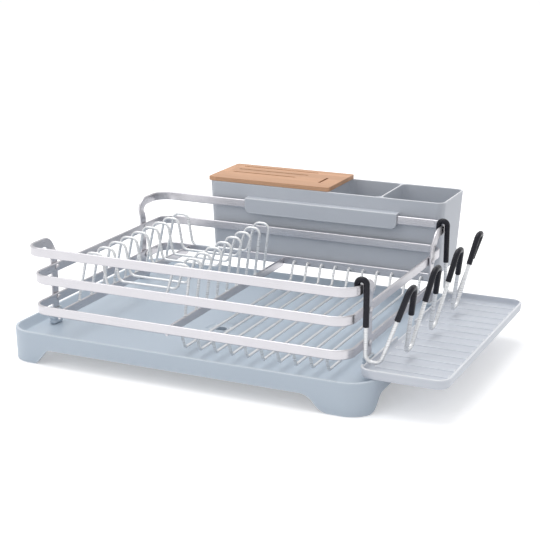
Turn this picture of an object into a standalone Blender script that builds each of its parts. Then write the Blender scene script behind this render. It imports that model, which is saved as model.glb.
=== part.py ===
"""Dish drainer: a drip tray on four moulded feet with a swivelling drain spout, a flat-bar
rack with plate wires and a bowl grid, a wire cup holder over a ribbed side tray, and a
cutlery caddy with a slotted wooden cover. Metres, +Z up, X along the front, Y to the back.
Outlines are drawn about the middle of the drip tray; the whole stands on z = 0."""

import math

import bmesh
import bpy
from mathutils import Matrix, Vector

# Fits
GAP = 0.0003
OVERRUN = 0.004
MERGE_DISTANCE = 0.000003
ARC_STEP = math.radians(22.5)
WIRE_ARC_STEP = math.radians(30)
ROUND_SIDES = 16
FINE_SIDES = 32
RIVET_SIDES = 12
HOLE_SIDES = 8
FILLET_LEG_SHARE = 0.49
HALF_ROUND_SHARE = 0.3
SHARP_ANGLE = math.radians(40)

# Drip tray
TRAY_WIDTH = 0.430
TRAY_DEPTH = 0.328
TRAY_CORNER_RADIUS = 0.030
TRAY_RIM_HEIGHT = 0.036
TRAY_FLOOR_HEIGHT = 0.027
TRAY_FLOOR_FALL = 0.0022
TRAY_FLOOR_THICKNESS = 0.0033
TRAY_WALL = 0.003
TRAY_RIM_LAND = 0.0032
TRAY_RIM_ROUNDING = 0.0012
TRAY_BASIN_SLOPE = 0.0065
TRAY_DRAFT = 0.0018
APRON_LIFT = 0.0175
LONG_ARCH_ROUNDING = 0.009
SHORT_ARCH_ROUNDING = 0.0072
FOOT_WIDTH = 0.026
FOOT_DEPTH = 0.020
FOOT_SLOPE = 0.015
RIB_THICKNESS = 0.0024
RIB_DROP = 0.0035
RIB_COUNT = 4

# Drain and its spout
DRAIN_X = -0.015
DRAIN_Y = -0.031
SUMP_RADIUS = 0.017
SUMP_BOTTOM_RADIUS = 0.0105
SUMP_DEPTH = 0.0028
DRAIN_HOLE_RADIUS = 0.0075
NECK_RADIUS = 0.0115
NECK_ROOT = 0.0011
NECK_LIP = 0.0014
NECK_LIP_HEIGHT = 0.0016
SPOUT_CLEAR_OF_APRON = 0.0022
SPOUT_HEIGHT = 0.0115
SPOUT_WALL = 0.002
SPOUT_HUB_RADIUS = 0.020
SPOUT_ARM_WIDTH = 0.024
SPOUT_TIP_WIDTH = 0.019
SPOUT_REACH = 0.205

# Flat-bar rack
RACK_SIDE_MARGIN = 0.027
RACK_END_MARGIN = 0.0125
RACK_CORNER_RADIUS = 0.020
BAR_THICKNESS = 0.003
BAR_HEIGHT = 0.0105
BOTTOM_RAIL_TOP = 0.0633
MIDDLE_RAIL_TOP = 0.0986
TOP_BAR_TOP = 0.1293
LEG_WIDTH = 0.012
LEG_SETBACK = 0.0515
LEG_BEND_RADIUS = 0.020
LEG_LEAN = 0.003
LEG_LEAN_HEIGHT = 0.017
LEG_LEAN_BELOW_BEND = 0.0057
RIVET_SHANK_RADIUS = 0.0019
RIVET_HEAD_RADIUS = 0.0036
RIVET_HEAD_HEIGHT = 0.0017
RIVET_RADIUS_SHARES = (1, 0.94, 0.6, 0)
RIVET_HEIGHT_SHARES = (0, 0.45, 0.88, 1)
RIVET_HOLE_LENGTH = 0.012
CAP_WALL = 0.0025
CAP_HEIGHT = 0.018
CAP_SOLE = 0.0035
CAP_RIB_DEPTH = 0.0006
CAP_RIBS = 4

# Plate wires
PLATE_BAR_INSET = 0.035
PLATE_BAR_SPACING = 0.134
PLATE_BAR_TOP = 0.060
PLATE_BAR_HEIGHT = 0.010
PLATE_WIRE_RADIUS = 0.0016
PLATE_WIRE_COUNT = 9
PLATE_WIRE_PITCH = 0.025
PLATE_WIRE_CENTRE_Y = -0.006
PLATE_CREST_HEIGHT = 0.1185
PLATE_RUN_HEIGHT = 0.080
PLATE_FOOT_RISE = 0.004
PLATE_LOOP_WIDTH = 0.0185
PLATE_LOOP_INSET = 0.012
PLATE_LOOP_FLARE = 0.0065
PLATE_RIGHT_LOOP_FLARE = 0.0115
PLATE_RIGHT_LOOP_OUTSET = 0.007
PLATE_CREST_RADIUS = 0.0075

# Bowl grid
BOWL_WIRE_RADIUS = 0.0016
BOWL_WIRE_COUNT = 10
BOWL_WIRE_OFF_BAR = 0.016
BOWL_WIRE_LAST_INSET = 0.0263
BOWL_WIRE_END_HEIGHT = 0.0565
BOWL_WIRE_RUN_HEIGHT = 0.0365
BOWL_WIRE_STUB = 0.0025
BOWL_WIRE_DROP_LENGTH = 0.0085
BOWL_WIRE_BEND = 0.004

# Side tray
SIDE_TRAY_END_MARGIN = 0.018
SIDE_TRAY_OUTREACH = 0.0735
SIDE_TRAY_RIM_HEIGHT = 0.0465
SIDE_TRAY_CORNER_RADIUS = 0.014
SIDE_TRAY_WALL = 0.0024
SIDE_TRAY_FLOOR = 0.0022
SIDE_TRAY_DRAFT = 0.0025
SIDE_TRAY_INNER_WALL_TOP = 0.0438
SIDE_TRAY_CLEAR_OF_CAP = 0.0005
SIDE_TRAY_NOTCH_WIDTH = 0.060
SIDE_TRAY_LIP_WIDTH = 0.210
SIDE_TRAY_LIP_DROP = 0.0075
SIDE_RIB_COUNT = 14
SIDE_RIB_WIDTH = 0.0026
SIDE_RIB_HEIGHT = 0.0014
SIDE_RIB_MARGIN = 0.008

# Cup holder
CUP_WIRE_RADIUS = 0.0022
SLEEVE_RADIUS = 0.0032
SLEEVE_END = 0.0012
SLEEVE_LEG = 0.040
HOOK_SETBACK = 0.0215
HOOK_CREST_RISE = 0.001
HOOK_TIP_DROP = 0.0095
CUP_PEAK_OUTREACH = 0.0255
CUP_BEND_OUTREACH = 0.0105
CUP_END_BEND_WIDTH = 0.016
CUP_PEAK_TOP = 0.127
CUP_BEND_BOTTOM = 0.0490
CUP_PEAK_COUNT = 4
CUP_PEAK_OFF_HOOK = 0.013
CUP_LOOP_WIDTH = 0.0165
CUP_LOOP_RADIUS = 0.0075

# Cutlery caddy
CADDY_LEFT_INSET = 0.063
CADDY_RIGHT_INSET = 0.0034
CADDY_DEPTH = 0.0855
CADDY_CLEAR_OF_RACK = 0.0040
CADDY_RIM_ABOVE_BAR = 0.0187
CADDY_BELOW_RIM = 0.090
CADDY_TAPER = 0.005
CADDY_CORNER_RADIUS = 0.010
CADDY_WALL = 0.0022
CADDY_FLOOR = 0.0025
CADDY_DIVIDER_INSETS = (0.1496, 0.0796)
CADDY_HOLE_RADIUS = 0.0025
CADDY_HOLE_PITCH = 0.022
HOOK_LEFT_INSET = 0.055
HOOK_RIGHT_INSET = 0.0546
HOOK_THICKNESS = 0.0024
HOOK_FLAP_DROP = 0.0165
HOOK_FLAP_ROUNDING = 0.008

# Wooden cover
COVER_THICKNESS = 0.0052
COVER_PLUG_DEPTH = 0.005
COVER_PLUG_GAP = 0.0010
COVER_OVERHANG = 0.004
COVER_CORNER_RADIUS = 0.003
COVER_SLOT_WIDTH = 0.0032
COVER_SLOT_LEFT_MARGIN = 0.016
COVER_SLOT_RIGHT_INSETS = (0.061, 0.051, 0.044)
COVER_SLOT_DEPTH_SHARES = (0.45, 0.65, 0.85)
COVER_SHORT_SLOT_INSET = 0.022
COVER_SHORT_SLOT_SHARES = (0.25, 0.60)

# Places that follow from the sizes above
SPOUT_TOP = APRON_LIFT - SPOUT_CLEAR_OF_APRON
CAP_BOTTOM = TRAY_FLOOR_HEIGHT + GAP
TRAY_CEILING = TRAY_FLOOR_HEIGHT - TRAY_FLOOR_FALL - TRAY_FLOOR_THICKNESS
RACK_HALF_WIDTH = TRAY_WIDTH / 2 - RACK_SIDE_MARGIN
RACK_HALF_DEPTH = TRAY_DEPTH / 2 - RACK_END_MARGIN
RACK_INNER_DEPTH = RACK_HALF_DEPTH - BAR_THICKNESS
LEG_CENTRE_Y = RACK_HALF_DEPTH - LEG_SETBACK
LEG_INNER_X = RACK_HALF_WIDTH + GAP
LEG_OUTER_X = LEG_INNER_X + BAR_THICKNESS
TOP_BAR_OUTER_X = LEG_OUTER_X + LEG_LEAN
TOP_BAR_INNER_X = TOP_BAR_OUTER_X - BAR_THICKNESS
CAP_OUTER_X = LEG_OUTER_X + GAP + CAP_WALL
PLATE_BAR_LEFT_X = PLATE_BAR_INSET - RACK_HALF_WIDTH
PLATE_BAR_RIGHT_X = PLATE_BAR_LEFT_X + PLATE_BAR_SPACING
BOWL_WIRE_FIRST_X = PLATE_BAR_RIGHT_X + BOWL_WIRE_OFF_BAR
BOWL_WIRE_LAST_X = RACK_HALF_WIDTH - BOWL_WIRE_LAST_INSET
BOWL_WIRE_PITCH = (BOWL_WIRE_LAST_X - BOWL_WIRE_FIRST_X) / (BOWL_WIRE_COUNT - 1)
HOOK_Y = RACK_HALF_DEPTH - HOOK_SETBACK
CUP_PEAK_PITCH = 2 * (HOOK_Y - CUP_PEAK_OFF_HOOK) / (CUP_PEAK_COUNT - 1)
SIDE_TRAY_LEFT_X = CAP_OUTER_X + SIDE_TRAY_CLEAR_OF_CAP
SIDE_TRAY_RIGHT_X = TRAY_WIDTH / 2 + SIDE_TRAY_OUTREACH
SIDE_TRAY_HALF_DEPTH = TRAY_DEPTH / 2 - SIDE_TRAY_END_MARGIN
SIDE_TRAY_BOTTOM = TRAY_RIM_HEIGHT + GAP
SIDE_FLOOR_TOP = SIDE_TRAY_BOTTOM + SIDE_TRAY_FLOOR
CADDY_LEFT_X = CADDY_LEFT_INSET - RACK_HALF_WIDTH
CADDY_RIGHT_X = RACK_HALF_WIDTH - CADDY_RIGHT_INSET
CADDY_RIM_HEIGHT = TOP_BAR_TOP + CADDY_RIM_ABOVE_BAR
CADDY_BOTTOM_HEIGHT = CADDY_RIM_HEIGHT - CADDY_BELOW_RIM
CADDY_DIVIDER_XS = tuple(CADDY_RIGHT_X - inset for inset in CADDY_DIVIDER_INSETS)
HOOK_LEFT_X = CADDY_LEFT_X + HOOK_LEFT_INSET
HOOK_RIGHT_X = CADDY_RIGHT_X - HOOK_RIGHT_INSET
CADDY_FRONT_Y = RACK_HALF_DEPTH + CADDY_CLEAR_OF_RACK
CADDY_REAR_Y = CADDY_FRONT_Y + CADDY_DEPTH
ORIGIN_X = (SIDE_TRAY_RIGHT_X - TRAY_WIDTH / 2) / 2
ORIGIN_Y = (CADDY_REAR_Y - TRAY_DEPTH / 2) / 2

# Colours
TRAY_COLOUR = (0.474, 0.533, 0.597, 1)
CADDY_COLOUR = (0.474, 0.500, 0.546, 1)
ALUMINIUM_COLOUR = (0.68, 0.69, 0.71, 1)
WIRE_COLOUR = (0.76, 0.77, 0.79, 1)
SLEEVE_COLOUR = (0.014, 0.015, 0.022, 1)
WOOD_COLOUR = (0.69, 0.42, 0.25, 1)


def clear_scene():
    for item in list(bpy.data.objects):
        bpy.data.objects.remove(item, do_unlink=True)


def new_collection(name):
    collection = bpy.data.collections.new(name)
    bpy.context.scene.collection.children.link(collection)
    return collection


def material(name, colour, roughness, metallic=0.0):
    made = bpy.data.materials.new(name)
    made.use_nodes = True
    shader = made.node_tree.nodes["Principled BSDF"]
    shader.inputs["Base Color"].default_value = colour
    shader.inputs["Roughness"].default_value = roughness
    shader.inputs["Metallic"].default_value = metallic
    made.diffuse_color = colour
    return made


def filleted(points, radius, closed=False, step=ARC_STEP):
    """The points with each corner turned into an arc, limited by the shorter leg beside it."""
    points = [Vector(point) for point in points]
    count = len(points)
    path = []
    for index, corner in enumerate(points):
        if not closed and index in (0, count - 1):
            path.append(corner)
            continue
        before = points[index - 1] - corner
        after = points[(index + 1) % count] - corner
        opening = before.angle(after)
        turn = math.pi - opening
        shorter = min(before.length, after.length)
        reach = min(radius / math.tan(opening / 2), shorter * FILLET_LEG_SHARE)
        bend = reach * math.tan(opening / 2)
        inward = (before.normalized() + after.normalized()).normalized()
        centre = corner + inward * bend / math.sin(opening / 2)
        first = corner + before.normalized() * reach - centre
        last = corner + after.normalized() * reach - centre
        steps = max(1, round(turn / step))
        for part in range(steps + 1):
            share = part / steps
            blend = first * math.sin((1 - share) * turn) + last * math.sin(share * turn)
            path.append(centre + blend / math.sin(turn))
    return path


def rounded_rectangle(left, right, front, back, radius, step=ARC_STEP):
    corners = [(right, back), (left, back), (left, front), (right, front)]
    return filleted(corners, radius, closed=True, step=step)


def centred_rectangle(width, depth, radius, inset=0.0, step=ARC_STEP):
    half_width = width / 2 - inset
    half_depth = depth / 2 - inset
    return rounded_rectangle(-half_width, half_width, -half_depth, half_depth, radius - inset, step)


def at_height(outline, height):
    return [Vector((point[0], point[1], height)) for point in outline]


def place(name, mesh, finish, collection):
    item = bpy.data.objects.new(name, mesh)
    item.data.materials.append(finish)
    collection.objects.link(item)
    return item


def finish_mesh(shape, name):
    bmesh.ops.recalc_face_normals(shape, faces=shape.faces)
    mesh = bpy.data.meshes.new(name)
    shape.to_mesh(mesh)
    shape.free()
    return mesh


def lofted_mesh(name, rings):
    """A closed solid through rings of equal length, capped at the first and the last."""
    shape = bmesh.new()
    loops = [[shape.verts.new(point) for point in ring] for ring in rings]
    for lower, upper in zip(loops, loops[1:]):
        for index, corner in enumerate(lower):
            after = (index + 1) % len(lower)
            shape.faces.new((corner, lower[after], upper[after], upper[index]))
    shape.faces.new(loops[0])
    shape.faces.new(loops[-1])
    return finish_mesh(shape, name)


def curve_mesh(name, curve):
    """The curve's solid as a mesh with its caps welded on."""
    item = bpy.data.objects.new(name, curve)
    bpy.context.scene.collection.objects.link(item)
    graph = bpy.context.evaluated_depsgraph_get()
    mesh = bpy.data.meshes.new_from_object(item.evaluated_get(graph))
    bpy.data.objects.remove(item, do_unlink=True)
    shape = bmesh.new()
    shape.from_mesh(mesh)
    bmesh.ops.remove_doubles(shape, verts=shape.verts, dist=MERGE_DISTANCE)
    return finish_mesh(shape, name)


def new_curve(name, outlines, closed):
    curve = bpy.data.curves.new(name, "CURVE")
    for outline in outlines:
        spline = curve.splines.new("POLY")
        spline.points.add(len(outline) - 1)
        for point, where in zip(spline.points, outline):
            point.co = (*Vector(where).to_3d(), 1)
        spline.use_cyclic_u = closed
    return curve


def flat_mesh(name, outlines, low, high, plane="XY"):
    """Closed outlines, the later ones holes in the first, thickened from low to high."""
    curve = new_curve(name, outlines, closed=True)
    curve.dimensions = "2D"
    curve.fill_mode = "BOTH"
    curve.extrude = (high - low) / 2
    mesh = curve_mesh(name, curve)
    middle = (low + high) / 2
    for vertex in mesh.vertices:
        across, up, along = vertex.co
        if plane == "XY":
            vertex.co = (across, up, along + middle)
        elif plane == "XZ":
            vertex.co = (across, middle - along, up)
        else:
            vertex.co = (middle + along, across, up)
    return mesh


def wire_curve(name, path, radius, resolution=2):
    curve = new_curve(name, [path], closed=False)
    curve.dimensions = "3D"
    curve.twist_mode = "MINIMUM"
    curve.bevel_depth = radius
    curve.bevel_resolution = resolution
    curve.use_fill_caps = True
    return curve


def boxes_mesh(name, boxes):
    """One mesh of separate boxes, each given by its lowest and highest corner."""
    shape = bmesh.new()
    for low, high in boxes:
        low = Vector(low)
        high = Vector(high)
        made = bmesh.ops.create_cube(shape, size=1)
        bmesh.ops.scale(shape, vec=high - low, verts=made["verts"])
        bmesh.ops.translate(shape, vec=(low + high) / 2, verts=made["verts"])
    return finish_mesh(shape, name)


def rods_mesh(name, rods, radius, along="Z", sides=ROUND_SIDES):
    """One mesh of separate round rods, each given by its middle and its length."""
    turns = {"X": ((0, 1, 0), math.pi / 2), "Y": ((1, 0, 0), math.pi / 2), "Z": ((0, 0, 1), 0)}
    shape = bmesh.new()
    for middle, length in rods:
        made = bmesh.ops.create_cone(
            shape, cap_ends=True, segments=sides, radius1=radius, radius2=radius, depth=length
        )
        axis, angle = turns[along]
        turn = Matrix.Rotation(angle, 3, axis)
        bmesh.ops.rotate(shape, cent=(0, 0, 0), matrix=turn, verts=made["verts"])
        bmesh.ops.translate(shape, vec=middle, verts=made["verts"])
    return finish_mesh(shape, name)


def turned_mesh(name, profile, steps=ROUND_SIDES):
    """A solid turned about Z from a profile that runs top to bottom down its outer side."""
    outline = bpy.data.meshes.new(name + "_profile")
    edges = [(index, index + 1) for index in range(len(profile) - 1)]
    outline.from_pydata([(reach, 0, height) for reach, height in profile], edges, [])
    item = bpy.data.objects.new(name, outline)
    bpy.context.scene.collection.objects.link(item)
    screw = item.modifiers.new("turn", "SCREW")
    screw.steps = steps
    screw.render_steps = steps
    screw.use_merge_vertices = True
    screw.merge_threshold = MERGE_DISTANCE
    graph = bpy.context.evaluated_depsgraph_get()
    mesh = bpy.data.meshes.new_from_object(item.evaluated_get(graph))
    bpy.data.objects.remove(item, do_unlink=True)
    shape = bmesh.new()
    shape.from_mesh(mesh)
    bmesh.ops.remove_doubles(shape, verts=shape.verts, dist=MERGE_DISTANCE)
    return finish_mesh(shape, name)


class Bench:
    """The collections, finishes and helpers that the pieces are made with."""

    def __init__(self):
        self.parts = new_collection("dish_drainer")
        self.helpers = new_collection("cutters")
        self.tray = material("pale_plastic", TRAY_COLOUR, 0.5)
        self.caddy = material("caddy_plastic", CADDY_COLOUR, 0.5)
        self.bar = material("anodised_aluminium", ALUMINIUM_COLOUR, 0.32, 1.0)
        self.wire = material("satin_wire", WIRE_COLOUR, 0.28, 1.0)
        self.sleeve = material("dark_vinyl", SLEEVE_COLOUR, 0.35)
        self.wood = material("bamboo", WOOD_COLOUR, 0.55)

    def part(self, name, mesh, finish, parent):
        item = place(name, mesh, finish, self.parts)
        item.parent = parent
        if item.type == "MESH":
            item.data.shade_smooth()
            item.data.set_sharp_from_angle(angle=SHARP_ANGLE)
        return item

    def helper(self, name, mesh, parent):
        item = bpy.data.objects.new(name, mesh)
        self.helpers.objects.link(item)
        item.parent = parent
        item.hide_render = True
        item.display_type = "WIRE"
        return item

    def combine(self, item, name, mesh, operation):
        """Cuts the mesh from the item or unites it with the item."""
        other = self.helper(f"{item.name}_{name}", mesh, item.parent)
        self.boolean(item, other, name, operation)

    def boolean(self, item, other, name, operation="DIFFERENCE"):
        modifier = item.modifiers.new(name, "BOOLEAN")
        modifier.operation = operation
        modifier.object = other

    def cut(self, item, name, mesh):
        self.combine(item, name, mesh, "DIFFERENCE")

    def unite(self, item, name, mesh):
        self.combine(item, name, mesh, "UNION")


def empty(name, collection, location=(0, 0, 0), parent=None):
    item = bpy.data.objects.new(name, None)
    item.empty_display_size = SUMP_RADIUS
    item.location = location
    item.parent = parent
    collection.objects.link(item)
    return item


def circle(centre_x, centre_y, radius, directions):
    return [(centre_x + radius * math.cos(turn), centre_y + radius * math.sin(turn)) for turn in directions]


def basin_rings():
    """From above the rim down the basin wall, over the falling floor and into the sump."""
    slope_inset = TRAY_RIM_LAND + TRAY_BASIN_SLOPE
    rim = centred_rectangle(TRAY_WIDTH, TRAY_DEPTH, TRAY_CORNER_RADIUS, TRAY_RIM_LAND)
    floor = centred_rectangle(TRAY_WIDTH, TRAY_DEPTH, TRAY_CORNER_RADIUS, slope_inset)
    directions = [math.atan2(point[1] - DRAIN_Y, point[0] - DRAIN_X) for point in floor]
    low = TRAY_FLOOR_HEIGHT - TRAY_FLOOR_FALL
    return [
        at_height(rim, TRAY_RIM_HEIGHT + OVERRUN),
        at_height(rim, TRAY_RIM_HEIGHT),
        at_height(floor, TRAY_FLOOR_HEIGHT),
        at_height(circle(DRAIN_X, DRAIN_Y, SUMP_RADIUS, directions), low),
        at_height(circle(DRAIN_X, DRAIN_Y, SUMP_BOTTOM_RADIUS, directions), low - SUMP_DEPTH),
    ]


def underside_outline():
    """The hollow under the floor: a cross that leaves a solid block over each foot."""
    right = TRAY_WIDTH / 2 - TRAY_WALL - TRAY_DRAFT
    back = TRAY_DEPTH / 2 - TRAY_WALL - TRAY_DRAFT
    foot_x = TRAY_WIDTH / 2 - FOOT_WIDTH - FOOT_SLOPE
    foot_y = TRAY_DEPTH / 2 - FOOT_DEPTH - FOOT_SLOPE
    quarter = [(right, foot_y), (foot_x, foot_y), (foot_x, back)]
    corners = list(quarter)
    corners += [(-x, y) for x, y in reversed(quarter)]
    corners += [(-x, -y) for x, y in quarter]
    corners += [(x, -y) for x, y in reversed(quarter)]
    return corners


def arch_outline(half_length, foot_length, rounding):
    """The opening under the apron between two feet, seen square to it."""
    low = half_length - foot_length + OVERRUN
    high = half_length - foot_length - FOOT_SLOPE
    corners = [(high, APRON_LIFT), (-high, APRON_LIFT), (-low, -OVERRUN), (low, -OVERRUN)]
    rounded = filleted(corners, rounding, closed=True)
    per_corner = len(rounded) // len(corners)
    return rounded[: 2 * per_corner] + [Vector(corner) for corner in corners[2:]]


def make_drip_tray(bench, origin):
    rim_middle = TRAY_RIM_ROUNDING * HALF_ROUND_SHARE
    rings = [
        at_height(centred_rectangle(TRAY_WIDTH, TRAY_DEPTH, TRAY_CORNER_RADIUS, inset), height)
        for inset, height in (
            (TRAY_DRAFT, 0),
            (0, TRAY_RIM_HEIGHT - TRAY_RIM_ROUNDING),
            (rim_middle, TRAY_RIM_HEIGHT - rim_middle),
            (TRAY_RIM_ROUNDING, TRAY_RIM_HEIGHT),
        )
    ]
    tray = bench.part("drip_tray", lofted_mesh("drip_tray", rings), bench.tray, origin)
    bench.cut(tray, "basin", lofted_mesh("basin", basin_rings()))
    beyond_x = TRAY_WIDTH / 2 + OVERRUN
    beyond_y = TRAY_DEPTH / 2 + OVERRUN
    long_arch = arch_outline(TRAY_WIDTH / 2, FOOT_WIDTH, LONG_ARCH_ROUNDING)
    short_arch = arch_outline(TRAY_DEPTH / 2, FOOT_DEPTH, SHORT_ARCH_ROUNDING)
    bench.cut(tray, "long_arch", flat_mesh("long_arch", [long_arch], -beyond_y, beyond_y, "XZ"))
    bench.cut(tray, "short_arch", flat_mesh("short_arch", [short_arch], -beyond_x, beyond_x, "YZ"))
    hollow = [at_height(underside_outline(), height) for height in (APRON_LIFT - OVERRUN, TRAY_CEILING)]
    bench.cut(tray, "hollow", lofted_mesh("hollow", hollow))
    bench.unite(tray, "ribs", underside_ribs())
    bench.unite(tray, "neck", drain_neck())
    hole_length = TRAY_RIM_HEIGHT
    hole = rods_mesh("hole", [((DRAIN_X, DRAIN_Y, hole_length / 2), hole_length)], DRAIN_HOLE_RADIUS)
    bench.cut(tray, "drain_hole", hole)
    return tray


def underside_ribs():
    """Stiffening ribs under the floor, from the front wall to the rear wall."""
    span = TRAY_WIDTH / 2 - FOOT_WIDTH - FOOT_SLOPE
    back = TRAY_DEPTH / 2 - TRAY_WALL
    bottom = TRAY_CEILING - RIB_DROP
    boxes = []
    for index in range(RIB_COUNT):
        middle = -span + (index + 0.5) * 2 * span / RIB_COUNT
        if abs(middle - DRAIN_X) < SPOUT_HUB_RADIUS:
            continue
        low = (middle - RIB_THICKNESS / 2, -back, bottom)
        high = (middle + RIB_THICKNESS / 2, back, TRAY_CEILING + TRAY_WALL / 2)
        boxes.append((low, high))
    return boxes_mesh("ribs", boxes)


def drain_neck():
    """The tube under the drain, with the lip that the spout's hub snaps over."""
    top = TRAY_CEILING + NECK_ROOT
    plate_bottom = SPOUT_TOP - SPOUT_WALL - GAP
    lip_bottom = plate_bottom - NECK_LIP_HEIGHT
    lip_radius = NECK_RADIUS + NECK_LIP
    profile = [
        (0, top),
        (NECK_RADIUS, top),
        (NECK_RADIUS, plate_bottom),
        (lip_radius, plate_bottom),
        (NECK_RADIUS, lip_bottom),
        (0, lip_bottom),
    ]
    mesh = turned_mesh("neck", profile, FINE_SIDES)
    mesh.transform(Matrix.Translation((DRAIN_X, DRAIN_Y, 0)))
    return mesh


def keyhole(hub_radius, arm_width, tip_width, reach):
    """A round hub with a tapering arm to the back, drawn about the hub's centre."""
    side = math.asin(arm_width / 2 / hub_radius)
    start = math.pi / 2 + side
    sweep = 2 * math.pi - 2 * side
    steps = round(sweep / ARC_STEP)
    outline = circle(0, 0, hub_radius, [start + sweep * index / steps for index in range(steps + 1)])
    return outline + [(tip_width / 2, reach), (-tip_width / 2, reach)]


def make_drain_spout(bench, pivot):
    low = SPOUT_TOP - SPOUT_HEIGHT
    floor = low + SPOUT_WALL
    outline = keyhole(SPOUT_HUB_RADIUS, SPOUT_ARM_WIDTH, SPOUT_TIP_WIDTH, SPOUT_REACH)
    body = flat_mesh("drain_spout", [outline], low, SPOUT_TOP)
    spout = bench.part("drain_spout", body, bench.tray, pivot)
    plate_bottom = SPOUT_TOP - SPOUT_WALL
    cup_height = plate_bottom - floor
    cup_radius = SPOUT_HUB_RADIUS - SPOUT_WALL
    cup_middle = (0, 0, floor + cup_height / 2)
    cup = rods_mesh("cup", [(cup_middle, cup_height)], cup_radius, sides=FINE_SIDES)
    bench.cut(spout, "cup", cup)
    inner_arm = SPOUT_ARM_WIDTH / 2 - SPOUT_WALL
    inner_tip = SPOUT_TIP_WIDTH / 2 - SPOUT_WALL
    beyond = SPOUT_REACH + OVERRUN
    root = SPOUT_HUB_RADIUS
    trough = [(inner_tip, beyond), (-inner_tip, beyond), (-inner_arm, root), (inner_arm, root)]
    bench.cut(spout, "trough", flat_mesh("trough", [trough], floor, SPOUT_TOP + OVERRUN))
    way = ((-inner_arm, 0, floor), (inner_arm, SPOUT_HUB_RADIUS + OVERRUN, plate_bottom))
    bench.cut(spout, "way_through", boxes_mesh("way", [way]))
    eye_rod = ((0, 0, SPOUT_TOP), 2 * SPOUT_WALL + GAP)
    eye = rods_mesh("eye", [eye_rod], NECK_RADIUS + GAP, sides=FINE_SIDES)
    bench.cut(spout, "eye", eye)
    return spout


def loop_mesh(name, top):
    width = 2 * RACK_HALF_WIDTH
    depth = 2 * RACK_HALF_DEPTH
    outer = centred_rectangle(width, depth, RACK_CORNER_RADIUS)
    inner = centred_rectangle(width, depth, RACK_CORNER_RADIUS, BAR_THICKNESS)
    return flat_mesh(name, [outer, inner], top - BAR_HEIGHT, top)


def rivet_places():
    """Middles of the eight rivets, each on a leg's centre line and a rail's."""
    middle_x = (LEG_OUTER_X + RACK_HALF_WIDTH - BAR_THICKNESS) / 2
    heights = (("lower", BOTTOM_RAIL_TOP - BAR_HEIGHT / 2), ("upper", MIDDLE_RAIL_TOP - BAR_HEIGHT / 2))
    places = {}
    for side, toward_x in (("left", -1), ("right", 1)):
        for end, toward_y in (("front", -1), ("rear", 1)):
            for level, height in heights:
                where = Vector((toward_x * middle_x, toward_y * LEG_CENTRE_Y, height))
                places[f"rivet_{end}_{side}_{level}"] = where
    return places


def make_rails(bench, lift, holes):
    for name, top in (("bottom_rail", BOTTOM_RAIL_TOP), ("middle_rail", MIDDLE_RAIL_TOP)):
        rail = bench.part(name, loop_mesh(name, top), bench.bar, lift)
        bench.boolean(rail, holes, "rivet_holes")


def top_bar_sections():
    """Sections along one end's bar, each a middle, a width direction, a thickness direction,
    a width and a thickness, from the right leg's foot up and round to the front's middle."""
    up = Vector((0, 0, 1))
    back = Vector((0, 1, 0))
    right = Vector((1, 0, 0))
    leg_x = (LEG_INNER_X + LEG_OUTER_X) / 2
    band_x = (TOP_BAR_INNER_X + TOP_BAR_OUTER_X) / 2
    outer_y = LEG_CENTRE_Y - LEG_WIDTH / 2
    sections = []
    bend_y = outer_y + LEG_BEND_RADIUS
    bend_z = TOP_BAR_TOP - LEG_BEND_RADIUS
    for height in (CAP_BOTTOM + CAP_SOLE + GAP, bend_z - LEG_LEAN_BELOW_BEND):
        sections.append((Vector((leg_x, -LEG_CENTRE_Y, height)), back, right, LEG_WIDTH))
    steps = round(math.pi / 2 / ARC_STEP) + 1
    for index in range(steps + 1):
        turn = math.pi / 2 * index / steps
        width = LEG_WIDTH + (BAR_HEIGHT - LEG_WIDTH) * index / steps
        reach = LEG_BEND_RADIUS - width / 2
        outward = back * math.cos(turn) + up * math.sin(turn)
        centre = Vector((0, -bend_y, bend_z)) + outward * reach
        risen = LEG_BEND_RADIUS * math.sin(turn) + LEG_LEAN_BELOW_BEND
        lean = min(1, risen / LEG_LEAN_HEIGHT)
        centre.x = leg_x + (band_x - leg_x) * lean
        sections.append((centre, outward, right, width))
    corner_radius = RACK_CORNER_RADIUS - BAR_THICKNESS / 2
    corner_x = band_x - corner_radius
    corner_y = -RACK_HALF_DEPTH + RACK_CORNER_RADIUS
    height = TOP_BAR_TOP - BAR_HEIGHT / 2
    for index in range(steps + 1):
        turn = math.pi / 2 * index / steps
        outward = right * math.cos(turn) - back * math.sin(turn)
        centre = Vector((corner_x, corner_y, height)) + outward * corner_radius
        sections.append((centre, up, outward, BAR_HEIGHT))
    return sections


def top_bar_mesh(name, toward_y):
    """Both halves of one bar, mirrored across the middle and closed at the two leg ends."""
    half = top_bar_sections()
    whole = [(1, section) for section in half] + [(-1, section) for section in reversed(half)]
    rings = []
    for toward_x, (centre, wide, thick, width) in whole:
        across = wide * width / 2
        through = thick * BAR_THICKNESS / 2
        signs = ((1, 1), (1, -1), (-1, -1), (-1, 1))
        ring = [centre + across * a + through * b for a, b in signs]
        rings.append([Vector((toward_x * point.x, -toward_y * point.y, point.z)) for point in ring])
    return lofted_mesh(name, rings)


def make_top_bars(bench, lift, holes):
    for name, toward_y in (("front_top_bar", -1), ("rear_top_bar", 1)):
        bar = bench.part(name, top_bar_mesh(name, toward_y), bench.bar, lift)
        bench.boolean(bar, holes, "rivet_holes")


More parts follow.
